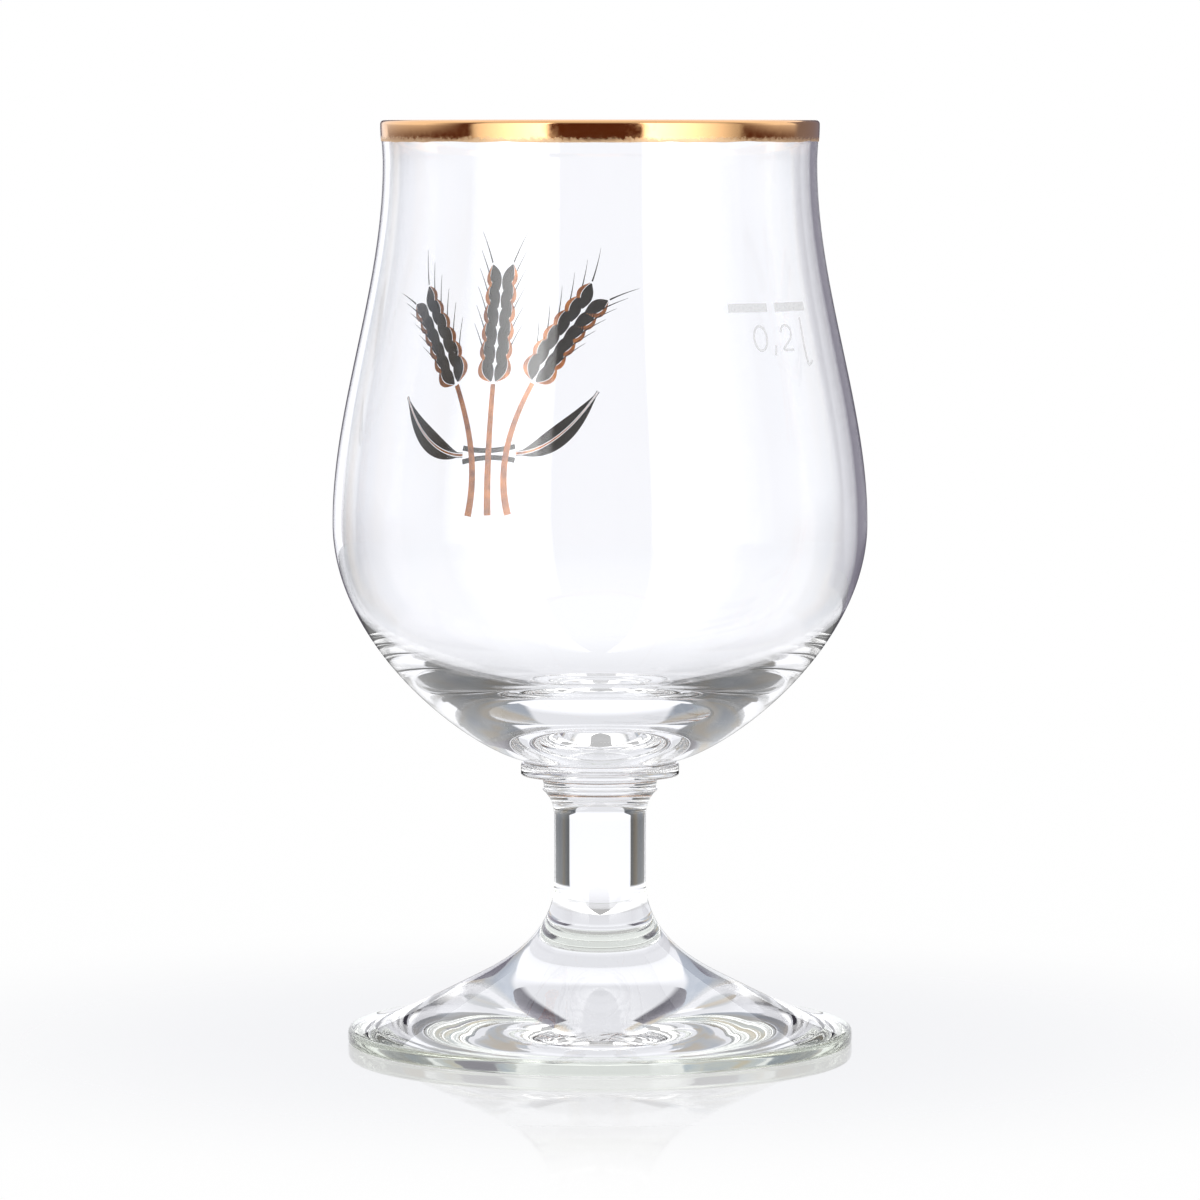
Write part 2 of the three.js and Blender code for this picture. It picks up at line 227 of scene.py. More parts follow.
def make_mesh(name: str, points: Array, loops: Array, starts: Array, slots: Array) -> Mesh:
    """Puts arrays into a new mesh, shaded smooth.

    Args:
        name: The mesh's name.
        points: Vertices in metres, three numbers each.
        loops: Vertex index of each face corner, face after face.
        starts: Index in loops of each face's first corner.
        slots: Material slot of each face.

    Returns:
        The mesh.
    """
    mesh = bpy.data.meshes.new(name)
    mesh.vertices.add(len(points))
    mesh.vertices.foreach_set("co", points.astype(np.float32).ravel())
    mesh.loops.add(len(loops))
    mesh.loops.foreach_set("vertex_index", loops.astype(np.int32))
    mesh.polygons.add(len(starts))
    mesh.polygons.foreach_set("loop_start", starts.astype(np.int32))
    mesh.polygons.foreach_set("material_index", slots.astype(np.int32))
    mesh.polygons.foreach_set("use_smooth", np.ones(len(starts), bool))
    mesh.update(calc_edges=True)
    return mesh


def turn(name: str, stretches: Sequence[Stretch], closed: bool = False,
         ruffle: Callable[[Array, Array], Array] | None = None) -> Mesh:
    """Turns an outline around Z: the point (r, z) goes to (r sin a, -r cos a, z) at each azimuth a.

    Neighbouring stretches share their end points, and each keeps its own normals, so an edge between two stretches
    is as sharp as their directions make it. A point on the axis becomes one vertex, so the ends are closed.

    Args:
        name: The mesh's name.
        stretches: The outline's runs, in order.
        closed: Whether the last point is the first one again, as in a ring.
        ruffle: Moves the grid of points, given the azimuths and the points in millimetres.

    Returns:
        The mesh, in metres.
    """
    outline = np.concatenate([stretches[0].points[:1], *(s.points[1:] for s in stretches)])
    if closed:
        outline = outline[:-1]
    pole = outline[:, 0] < ON_AXIS
    azimuth = 2 * np.pi * np.arange(TURNS) / TURNS
    around = np.stack([np.sin(azimuth), -np.cos(azimuth)], axis=1)
    grid = np.concatenate([
        outline[:, None, :1] * around[None], np.broadcast_to(outline[:, None, 1:], (len(outline), TURNS, 1)),
    ], axis=2)
    if ruffle is not None:
        grid = ruffle(azimuth, grid)
    kept = np.ones(grid.shape[:2], bool)
    kept[pole, 1:] = False
    counts = np.where(pole, 1, TURNS)
    index = (np.cumsum(counts) - counts)[:, None] + np.where(pole[:, None], 0, np.arange(TURNS))
    if closed:
        index, pole = np.concatenate([index, index[:1]]), np.append(pole, pole[0])

    ahead = np.roll(index, -1, axis=1)
    corners = np.stack([index[:-1], ahead[:-1], ahead[1:], index[1:]], axis=2)
    first = np.concatenate([s.normals()[:-1] for s in stretches])
    last = np.concatenate([s.normals()[1:] for s in stretches])
    tilt = np.stack([first, first, last, last], axis=1)[:, None]
    heading = np.stack([around, np.roll(around, -1, axis=0)] * 2, axis=1)[:, [0, 1, 3, 2]][None]
    shape = (*corners.shape, 1)
    normals = np.concatenate([
        np.broadcast_to(tilt[..., :1], shape) * heading, np.broadcast_to(tilt[..., 1:], shape),
    ], axis=3)
    used = np.ones(corners.shape, bool)
    used[pole[:-1], :, 1] = False
    used[pole[1:], :, 3] = False
    sizes = used.sum(axis=2).ravel()
    slots = np.repeat(np.concatenate([np.full(len(s.points) - 1, s.face) for s in stretches]), TURNS)
    mesh = make_mesh(name, grid[kept] * MM, corners[used], np.cumsum(sizes) - sizes, slots)
    mesh.normals_split_custom_set(normals[used].tolist())
    return mesh


def settle(mesh: Mesh, materials: Sequence[Material], slot: str, *nodes: str) -> Object:
    """Makes a piece of a mesh: dresses it, and lets it ride on the part's one body in place of its CAD nodes.

    Args:
        mesh: The piece's mesh, with its place in it. The piece takes its name.
        materials: The finishes, in the order of the mesh's slots.
        slot: The record's material slot; not used.
        nodes: The CAD nodes that the piece stands for.

    Returns:
        The piece.
    """
    for material in materials:
        mesh.materials.append(material)
    piece = add_object(mesh)
    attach(piece, BODY)
    if nodes:
        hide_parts(*nodes)
    LOG.info("%s: %d faces, stands for %s", piece.name, len(mesh.polygons), ", ".join(nodes) or "no node")
    return piece


# Finishes


@dataclass(frozen=True)
class Finish:
    """A material that is made once and shared by the pieces that wear it."""

    name: str

    def shader(self, tree: NodeTree) -> Node:
        """Adds the finish's nodes to a tree and returns the shader that they end in."""
        raise NotImplementedError

    def material(self) -> Material:
        """Makes the finish at its first use.

        Returns:
            The Blender material.
        """
        made = bpy.data.materials.get(self.name)
        if made is None:
            made = bpy.data.materials.new(self.name)
            give_nodes(made, self.shader)
        return made


@dataclass(frozen=True)
class SodaLimeGlass(Finish):
    """Fire-polished soda-lime glass: clear and sharp, a little green where one looks along the sheet at its rim."""

    name: str = "soda_lime_glass_fire_polished"
    clear: str = "#FFFFFF"
    edge: str = "#E9F0DF"
    edge_radius: float = 34.7
    edge_blend: float = 1.0
    edge_heights: Pair = (8.0, 4.0)
    ior: float = 1.52

    def shader(self, tree: NodeTree) -> Node:
        """Tints the glass by its distance from the axis, low down, where the foot's rim is.

        Args:
            tree: The material's node tree.

        Returns:
            The shader.
        """
        add = partial(add_node, tree)
        place = add("TexCoord").outputs["Object"]
        x, y, z = add("SeparateXYZ", place).outputs
        away = add("VectorMath", add("CombineXYZ", x, y), operation="LENGTH")
        rim = add("MapRange", away, *((self.edge_radius + sense * self.edge_blend) * MM for sense in (-1, 1)))
        foot = add("MapRange", z, *(height * MM for height in self.edge_heights))
        share = add("Math", rim, foot, operation="MULTIPLY")
        tint = add("Mix", share, linear(self.clear), linear(self.edge), data_type="RGBA")
        return add("BsdfPrincipled", named={
            "Base Color": tint, "Roughness": 0.0, "IOR": self.ior, "Transmission Weight": 1.0,
        })


@dataclass(frozen=True)
class FusedJoint(Finish):
    """The plane where two pieces are fused: the glass goes on, so light passes straight through."""

    name: str = "fused_glass_joint"

    def shader(self, tree: NodeTree) -> Node:
        """One shader that lets everything through."""
        return add_node(tree, "BsdfTransparent")


@dataclass(frozen=True)
class BrightGold(Finish):
    """Burnished bright gold, fired on: a warm mirror, thin and grainy along its lower edge.

    The grain and the brush marks are finer on a real glass, and drawn as coarse as they need to show.
    """

    name: str = "bright_gold_burnished"
    colour: str = "#F9C48C"
    worn: str = "#FFDDB4"
    edge_height: float = 128.05
    edge_blend: float = 0.35
    grain: float = 0.5
    grain_detail: float = 3.0
    grain_depth: float = 1.2
    brushing: float = 0.9
    brushing_detail: float = 2.0
    brushed: Pair = (0.3, 0.7)
    roughness: Pair = (0.06, 0.16)
    worn_roughness: float = 0.5

    def shader(self, tree: NodeTree) -> Node:
        """Blends to a paler, rougher gold near the lower edge, broken up by a fine grain.

        Args:
            tree: The material's node tree.

        Returns:
            The shader.
        """
        add = partial(add_node, tree)
        place = add("TexCoord").outputs["Object"]
        height = add("SeparateXYZ", place).outputs["Z"]
        grain = add("TexNoise", place, per_mm(self.grain), self.grain_detail)
        shift = add("Math", grain, self.grain_depth * MM, height, operation="MULTIPLY_ADD")
        top = self.edge_height + self.grain_depth / 2
        worn = add("MapRange", shift, *((top + sense * self.edge_blend) * MM for sense in (1, -1)))
        colour = add("Mix", worn, linear(self.colour), linear(self.worn), data_type="RGBA")
        streaks = add("TexNoise", place, per_mm(self.brushing), self.brushing_detail)
        gloss = add("MapRange", streaks, *self.brushed, *self.roughness)
        rough = add("Mix", worn, gloss, self.worn_roughness)
        return add("BsdfPrincipled", named={"Base Color": colour, "Metallic": 1.0, "Roughness": rough})


@dataclass(frozen=True)
class FiredEnamel(Finish):
    """Enamel fired on to glass: flat in colour, with a fine tooth and paler where the screen printed thin.

    The tooth is finer on a real glass, and drawn as coarse as it needs to show.
    """

    name: str
    colour: str = "#0C0A09"
    thin: str = "#1A1613"
    roughness: float = 0.35
    shine: float = 0.15
    cover: float = 1.0
    thin_cover: float = 1.0
    tooth: float = 0.25
    tooth_detail: float = 2.0
    thinned: Pair = (0.45, 0.7)

    def shader(self, tree: NodeTree) -> Node:
        """Varies the colour and, if the layer isn't dense, its cover with one fine noise.

        Args:
            tree: The material's node tree.

        Returns:
            The shader.
        """
        add = partial(add_node, tree)
        place = add("TexCoord").outputs["Object"]
        noise = add("TexNoise", place, per_mm(self.tooth), self.tooth_detail)
        thin = add("MapRange", noise, *self.thinned)
        colour = add("Mix", thin, linear(self.colour), linear(self.thin), data_type="RGBA")
        inputs = {"Base Color": colour, "Roughness": self.roughness, "Specular IOR Level": self.shine}
        if self.cover < 1:
            inputs["Alpha"] = add("MapRange", thin, 0.0, 1.0, self.cover, self.thin_cover)
        return add("BsdfPrincipled", named=inputs)


@dataclass(frozen=True)
class CopperLustre(Finish):
    """Copper-gold lustre, fired on: a thin metal film, satin, with cloudy patches where it is thicker."""

    name: str = "copper_lustre_fired"
    colour: str = "#D8843C"
    cloud: str = "#B0602A"
    patch: float = 1.6
    patch_detail: float = 3.0
    clouded: Pair = (0.35, 0.65)
    roughness: Pair = (0.35, 0.5)
    metallic: float = 0.8

    def shader(self, tree: NodeTree) -> Node:
        """Clouds the colour and the roughness with one soft noise.

        Args:
            tree: The material's node tree.

        Returns:
            The shader.
        """
        add = partial(add_node, tree)
        place = add("TexCoord").outputs["Object"]
        noise = add("TexNoise", place, per_mm(self.patch), self.patch_detail)
        cloud = add("MapRange", noise, *self.clouded)
        colour = add("Mix", cloud, linear(self.colour), linear(self.cloud), data_type="RGBA")
        rough = add("MapRange", cloud, 0.0, 1.0, *self.roughness)
        return add("BsdfPrincipled", named={"Base Color": colour, "Metallic": self.metallic, "Roughness": rough})


GLASS = SodaLimeGlass()
JOINT = FusedJoint()
GOLD = BrightGold()
BLACK = FiredEnamel("black_enamel_fired")
FROST = FiredEnamel("frosted_enamel_fired", colour="#F2F2F2", thin="#F8F8F8", roughness=0.7, cover=0.42,
                    thin_cover=0.3, tooth=0.35)
LUSTRE = CopperLustre()


# Glass


@dataclass(frozen=True)
class Levels:
    """Heights where the pieces meet, read from the CAD nodes."""

    foot_top: float
    collar_bottom: float
    bowl_bottom: float
    rim: float

    @classmethod
    def of_frame(cls) -> "Levels":
        """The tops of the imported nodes, in millimetres."""
        return cls(*(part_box(node)[1].z / MM for node in ("foot", "stem", "collar", "bowl")))


LEVELS = Levels.of_frame()


@dataclass(frozen=True)
class GlassPiece:
    """A piece of clear glass that is turned around the axis and fused to its neighbours."""

    node: ClassVar[str]

    def outline(self) -> list[Stretch]:
        """The piece's outline, from the lower end of the axis to its upper end."""
        raise NotImplementedError

    def build(self) -> Object:
        """The piece, dressed, in place of its CAD node."""
        mesh = turn(f"{self.node}_glass", self.outline())
        return settle(mesh, [GLASS.material(), JOINT.material()], "clear_glass", self.node)


@dataclass(frozen=True)
class Trumpet:
    """The curve from the stem's rod down to the foot's shoulder, which the stem and the foot share."""

    waist_radius: float = 6.5
    flare: float = 3.9
    flare_reach: float = 8.45
    shoulder: Pair = (19.15, 8.45)
    slope: float = 26.8
    reach: float = 4.7
    cut_steps: int = 4000

    def controls(self) -> list[Pair]:
        """Control points from the waist to the shoulder."""
        waist = (self.waist_radius, LEVELS.foot_top + self.flare)
        return [waist, (waist[0], waist[1] - self.flare_reach), downhill(self.shoulder, -self.reach, self.slope),
                self.shoulder]

    def cut(self) -> float:
        """The parameter where the curve passes the foot's top, read off a fine table of its heights."""
        table = bezier(self.controls(), self.cut_steps)
        return float(np.interp(-LEVELS.foot_top, -table[:, 1], np.linspace(0, 1, len(table))))

    def part(self, start: float, stop: float, steps: int) -> Array:
        """Points between two parameters."""
        return bezier(self.controls(), steps, start, stop)


@dataclass(frozen=True)
class Foot(GlassPiece):
    """Pressed disc, hollow underneath, that rises to the stem."""

    node: ClassVar[str] = "foot"
    radius: float = 35.8
    edge_height: float = 2.15
    edge_round: float = 0.8
    edge_slope: float = 9.0
    edge_reach: float = 4.9
    hollow_depth: float = 1.2
    ring_width: float = 4.0
    shoulder_reach: float = 8.75
    trumpet: Trumpet = field(default_factory=Trumpet)

    def outline(self) -> list[Stretch]:
        """Hollow underside, standing ring, rounded rim, disc, trumpet and joint, each a Bezier, arc or line.

        Returns:
            The stretches, in order.
        """
        small = self.edge_round / 2
        ring_out, ring_in = self.radius - small, self.radius - small - self.ring_width
        top = (self.radius - self.edge_round, self.edge_height)
        cut = self.trumpet.cut()
        rise = self.trumpet.part(1, cut, steps=48)
        return [
            Stretch(bezier([(0, self.hollow_depth), (ring_in / 2, self.hollow_depth), (ring_in, 0)], steps=40)),
            straight((ring_in, 0), (ring_out, 0), steps=4),
            Stretch(np.concatenate([
                arc((ring_out, small), small, -90, 0, steps=8)[:-1],
                np.linspace((self.radius, small), (self.radius, top[1] - self.edge_round), num=4)[:-1],
                bezier([(self.radius, top[1] - self.edge_round), (self.radius, top[1]), top], steps=8)[:-1],
                bezier([top, downhill(top, -self.edge_reach, self.edge_slope),
                        downhill(self.trumpet.shoulder, self.shoulder_reach, self.trumpet.slope),
                        self.trumpet.shoulder], steps=56)[:-1],
                rise,
            ])),
            straight(tuple(rise[-1]), (0, rise[-1][1]), Face.JOINT),
        ]


@dataclass(frozen=True)
class Stem(GlassPiece):
    """Plain rod that flares into the foot, with a bead and a cove under the collar."""

    node: ClassVar[str] = "stem"
    bead_step: float = 1.45
    bead_proud: float = 0.2
    bead_height: float = 0.55
    fillet_height: float = 3.7
    fillet_reach: float = 2.35
    cove_spread: float = 1.45
    cove_height: float = 1.7
    trumpet: Trumpet = field(default_factory=Trumpet)

    def cove_radius(self) -> float:
        """Radius of the cove where it meets the collar."""
        return self.trumpet.waist_radius + self.bead_step + self.cove_spread

    def outline(self) -> list[Stretch]:
        """Joint, flare, rod with fillet, bead, cove and joint, each a Bezier or a line.

        Returns:
            The stretches, in order.
        """
        top = LEVELS.collar_bottom
        radius = self.trumpet.waist_radius
        root = radius + self.bead_step
        bead_top = top - self.cove_height
        bead_low = bead_top - self.bead_height
        flare = self.trumpet.part(self.trumpet.cut(), 0, steps=16)
        fillet_low = bead_low - self.fillet_height
        rod = np.linspace(flare[-1], (radius, fillet_low), num=12)
        fillet = [(radius, fillet_low), (radius, fillet_low + self.fillet_reach), (root, bead_low)]
        bead = [(root, bead_low), (root + 2 * self.bead_proud, (bead_low + bead_top) / 2), (root, bead_top)]
        cove = [(root, bead_top), (root, top), (self.cove_radius(), top)]
        return [
            straight((0, flare[0][1]), tuple(flare[0]), Face.JOINT),
            Stretch(np.concatenate([flare[:-1], rod[:-1], bezier(fillet, steps=16)])),
            Stretch(bezier(bead, steps=20)),
            Stretch(bezier(cove, steps=20)),
            straight((self.cove_radius(), top), (0, top), Face.JOINT),
        ]


@dataclass(frozen=True)
class Collar(GlassPiece):
    """Wafer of glass between the stem and the bowl."""

    node: ClassVar[str] = "collar"
    overhang: float = 1.8
    edge_round: float = 0.3
    ledge: float = 0.1
    stem: Stem = field(default_factory=Stem)

    def radius(self) -> float:
        """Outer radius."""
        return self.stem.cove_radius() + self.overhang

    def seat_radius(self) -> float:
        """Radius of the bowl's base, which stands on the collar."""
        return self.radius() - self.edge_round - self.ledge

    def outline(self) -> list[Stretch]:
        """Joint, underside, rounded edge, ledge and joint, each a line or an arc.

        Returns:
            The stretches, in order.
        """
        low, high = LEVELS.collar_bottom, LEVELS.bowl_bottom
        edge = self.radius() - self.edge_round
        rim = np.concatenate([
            arc((edge, low + self.edge_round), self.edge_round, -90, 0, steps=8),
            arc((edge, high - self.edge_round), self.edge_round, 0, 90, steps=8),
        ])
        return [
            straight((0, low), (self.stem.cove_radius(), low), Face.JOINT),
            straight((self.stem.cove_radius(), low), (edge, low), steps=4),
            Stretch(rim),
            straight((edge, high), (self.seat_radius(), high)),
            straight((self.seat_radius(), high), (0, high), Face.JOINT),
        ]


@dataclass(frozen=True)
class Bowl(GlassPiece):
    """Blown bowl with a thick base, a belly, a waisted neck and a fire-polished lip."""

    node: ClassVar[str] = "bowl"
    weld_height: float = 0.45
    weld_spread: float = 0.4
    weld_slope: float = 14.0
    weld_reach: float = 8.5
    belly_radius: float = 37.8
    belly_rise: float = 34.0
    belly_reach_down: float = 17.0
    belly_reach_up: float = 16.8
    neck_radius: float = 30.6
    neck_drop: float = 6.0
    neck_reach_down: float = 17.75
    neck_reach_up: float = 2.0
    lip_flare: float = 0.25
    lip_reach: float = 2.0
    rim_wall: float = 1.0
    belly_wall: float = 1.3
    base_thickness: float = 6.0
    hollow_reach_down: float = 21.6
    hollow_reach_out: float = 15.7
    collar: Collar = field(default_factory=Collar)

    def lip_radius(self) -> float:
        """Outer radius at the lip."""
        return self.neck_radius + self.lip_flare

    def lip_height(self) -> float:
        """Height where the lip's rounding starts."""
        return LEVELS.rim - self.rim_wall / 2

    def side(self, inside: bool) -> list[list[Pair]]:
        """Control points of one face of the wall, from the belly up.

        Args:
            inside: Whether it is the inner face, which stands back by the wall's thickness.

        Returns:
            Those of the long curve to the neck, and of the lip's flare.
        """
        belly_wall, rim_wall = (self.belly_wall, self.rim_wall) if inside else (0, 0)
        belly = (self.belly_radius - belly_wall, LEVELS.bowl_bottom + self.belly_rise)
        neck = (self.neck_radius - rim_wall, LEVELS.rim - self.neck_drop)
        lip = (self.lip_radius() - rim_wall, self.lip_height())
        return [
            [belly, (belly[0], belly[1] + self.belly_reach_up), (neck[0], neck[1] - self.neck_reach_down), neck],
            [neck, (neck[0], neck[1] + self.neck_reach_up), (lip[0], lip[1] - self.lip_reach), lip],
        ]

    def lower(self) -> list[Pair]:
        """Control points of the outside from the weld to the belly.

        Returns:
            The four points of a cubic.
        """
        weld = (self.collar.seat_radius() + self.weld_spread, LEVELS.bowl_bottom + self.weld_height)
        belly = self.side(inside=False)[0][0]
        return [weld, downhill(weld, self.weld_reach, -self.weld_slope), (belly[0], belly[1] - self.belly_reach_down),
                belly]

    def floor(self) -> list[Pair]:
        """Control points of the hollow's floor, from the belly in to the axis.

        Returns:
            The four points of a cubic.
        """
        belly = self.side(inside=True)[0][0]
        height = LEVELS.bowl_bottom + self.base_thickness
        return [belly, (belly[0], belly[1] - self.hollow_reach_down), (self.hollow_reach_out, height), (0, height)]

    def outside(self) -> Array:
        """Fine points of the outside from the weld to the lip."""
        upper, flare = self.side(inside=False)
        return np.concatenate([
            bezier(self.lower(), steps=90)[:-1], bezier(upper, steps=110)[:-1], bezier(flare, steps=14),
        ])

    def outline(self) -> list[Stretch]:
        """Joint, weld, outside, lip and hollow, each a Bezier, arc or line.

        Returns:
            The stretches, in order.
        """
        seat = (self.collar.seat_radius(), LEVELS.bowl_bottom)
        outside = self.outside()
        weld = tuple(outside[0])
        fillet = bezier([seat, (seat[0], weld[1]), weld], steps=10)
        upper, flare = self.side(inside=True)
        lip = arc((self.lip_radius() - self.rim_wall / 2, self.lip_height()), self.rim_wall / 2, 0, 180, steps=16)
        inside = np.concatenate([
            bezier(flare[::-1], steps=14)[:-1], bezier(upper[::-1], steps=110)[:-1], bezier(self.floor(), steps=110),
        ])
        return [
            straight((0, seat[1]), seat, Face.JOINT),
            Stretch(np.concatenate([fillet[:-1], outside[:-1], lip[:-1], inside])),
        ]


# Fired layers


@dataclass(frozen=True)
class GiltRim:
    """Band of gold over the lip, with an edge that runs a little unevenly where the brush left it."""

    width: float = 2.9
    clearance: float = 0.03
    thickness: float = 0.06
    unevenness: float = 0.12
    waves: tuple[int, int] = (5, 60)
    bowl: Bowl = field(default_factory=Bowl)

    def face(self, lift: float) -> Array:
        """One face of the band: up the outside of the lip and over its round edge.

        Args:
            lift: How far it is off the glass.

        Returns:
            The face's outline.
        """
        wall = self.bowl.outside()
        heights = np.linspace(LEVELS.rim - self.width, self.bowl.lip_height(), num=14)[:-1]
        up = np.stack([np.interp(heights, wall[:, 1], wall[:, 0]) + lift, heights], axis=1)
        half = self.bowl.rim_wall / 2
        over = arc((self.bowl.lip_radius() - half, self.bowl.lip_height()), half + lift, 0, 180, steps=16)
        return np.concatenate([up, over])

    def ruffle(self, azimuth: Array, grid: Array) -> Array:
        """Moves the lower edge up and down by a sum of sines of the azimuth that dies out a millimetre up.

        Args:
            azimuth: Azimuth of each column, in radians.
            grid: Points in millimetres, outline by azimuth.

        Returns:
            The moved points.
        """
        draw = np.random.default_rng(SEED)
        waves = np.arange(self.waves[0], self.waves[1] + 1)
        phase = draw.uniform(0, 2 * np.pi, len(waves))
        edge = (np.sin(np.outer(azimuth, waves) + phase) / np.sqrt(waves)).sum(axis=1)
        low = LEVELS.rim - self.width
        fade = np.clip(1 - (grid[..., 2] - low), 0, 1)
        moved = grid.copy()
        moved[..., 2] += self.unevenness * edge / np.abs(edge).max() * fade
        return moved

    def build(self) -> Object:
        """Makes the band of an outer face, an inner face and two edges.

        Returns:
            The band, dressed.
        """
        outer, inner = self.face(self.clearance + self.thickness), self.face(self.clearance)
        stretches = [Stretch(outer), straight(tuple(outer[-1]), tuple(inner[-1])), Stretch(inner[::-1]),
                     straight(tuple(inner[0]), tuple(outer[0]))]
        return settle(turn("gilt_band", stretches, closed=True, ruffle=self.ruffle), [GOLD.material()], "gilt",
                      "gilt_rim")


@dataclass
class Film:
    """A thin layer on the bowl's outside, drawn flat as ribbons and then bent on to the glass.

    In the flat drawing u runs around the bowl and v up it, in millimetres from the patch's centre.
    """

    name: str
    azimuth: float
    height: float
    lift: float = 0.03
    thickness: float = 0.05
    crease: float = 40.0
    bowl: Bowl = field(default_factory=Bowl)
    points: list[Array] = field(default_factory=list)
    faces: list[Array] = field(default_factory=list)
    caps: list[Array] = field(default_factory=list)
    count: int = 0

    # Across a ribbon: shares of its width and of its thickness, up the outer face and back along the inner one
    SECTION = np.array([(-0.5, 0.4), (-0.42, 1), (-0.15, 1), (0.15, 1), (0.42, 1), (0.5, 0.4), (0.5, 0), (-0.5, 0)])

    def ribbon(self, path: Array, widths: Array | float, closed: bool = False) -> None:
        """Adds a strip: each path point plus its normal times a share of the width, lifted by a share of the thickness.

        Args:
            path: Points of the middle line.
            widths: Width at each point, or one for all.
            closed: Whether the strip runs back to its start, as in a ring.
        """
        _, side = headings(path, closed)
        width = np.broadcast_to(np.asarray(widths, float), len(path))
        across, up = self.SECTION.T
        flat = path[:, None] + side[:, None] * (across[None] * width[:, None])[..., None]
        rise = np.broadcast_to(self.lift + self.thickness * up, flat.shape[:2])
        rows, lanes = flat.shape[:2]
        index = self.count + np.arange(rows * lanes).reshape(rows, lanes)
        if closed:
            index = np.concatenate([index, index[:1]])
        else:
            self.caps += [index[0], index[-1][::-1]]
        ahead = np.roll(index, -1, axis=1)
        self.faces.append(np.stack([index[:-1], index[1:], ahead[1:], ahead[:-1]], axis=2).reshape(-1, 4))
        self.points.append(np.concatenate([flat, rise[..., None]], axis=2).reshape(-1, 3))
        self.count += rows * lanes

    def bent(self) -> Array:
        """The ribbons on the glass: u becomes an azimuth, v a height, and the lift a step along the wall's normal.

        Returns:
            Points in millimetres.
        """
        u, v, lift = np.concatenate(self.points).T
        wall = Stretch(self.bowl.outside())
        radius, height = wall.points.T
        normal = wall.normals()
        level = self.height + v
        out = np.interp(level, height, radius) + np.interp(level, height, normal[:, 0]) * lift
        angle = math.radians(self.azimuth) + u / np.interp(self.height, height, radius)
        up = level + np.interp(level, height, normal[:, 1]) * lift
        return np.stack([out * np.sin(angle), -out * np.cos(angle), up], axis=1)

    def build(self, finish: Finish, slot: str, *nodes: str) -> Object:
        """The layer as one piece.

        Args:
            finish: What it is fired from.
            slot: The record's material slot.
            nodes: The CAD nodes that it stands for.

        Returns:
            The piece.
        """
        quads = np.concatenate(self.faces).ravel()
        ends = np.concatenate(self.caps) if self.caps else np.empty(0, int)
        sizes = np.concatenate([np.full(len(quads) // 4, 4), [len(c) for c in self.caps]]).astype(int)
        mesh = make_mesh(self.name, self.bent() * MM, np.concatenate([quads, ends]), np.cumsum(sizes) - sizes,
                         np.zeros(len(sizes)))
        mesh.set_sharp_from_angle(angle=math.radians(self.crease))
        return settle(mesh, [finish.material()], slot, *nodes)


def line(start: Pair, stop: Pair, steps: int = 12) -> Array:
    """Points on a straight line."""
    return np.linspace(start, stop, steps + 1)


def smooth_path(knots: Sequence[Pair], steps: int) -> Array:
    """A path through knots: Catmull-Rom, each span a cubic whose end slopes are half the neighbours' difference.

    Args:
        knots: Points that the path goes through.
        steps: Number of equal parameter steps.

    Returns:
        An array of steps + 1 points.
    """
    p = np.asarray(knots, float)
    p = np.concatenate([2 * p[:1] - p[1:2], p, 2 * p[-1:] - p[-2:-1]])
    t = np.linspace(0, len(knots) - 1, steps + 1)
    k = np.minimum(t.astype(int), len(knots) - 2)
    s = (t - k)[:, None]
    a, b, c, d = (p[k + i] for i in range(4))
    return b + s * ((c - a) / 2 + s * (a - 2.5 * b + 2 * c - d / 2 + s * (1.5 * (b - c) + (d - a) / 2)))


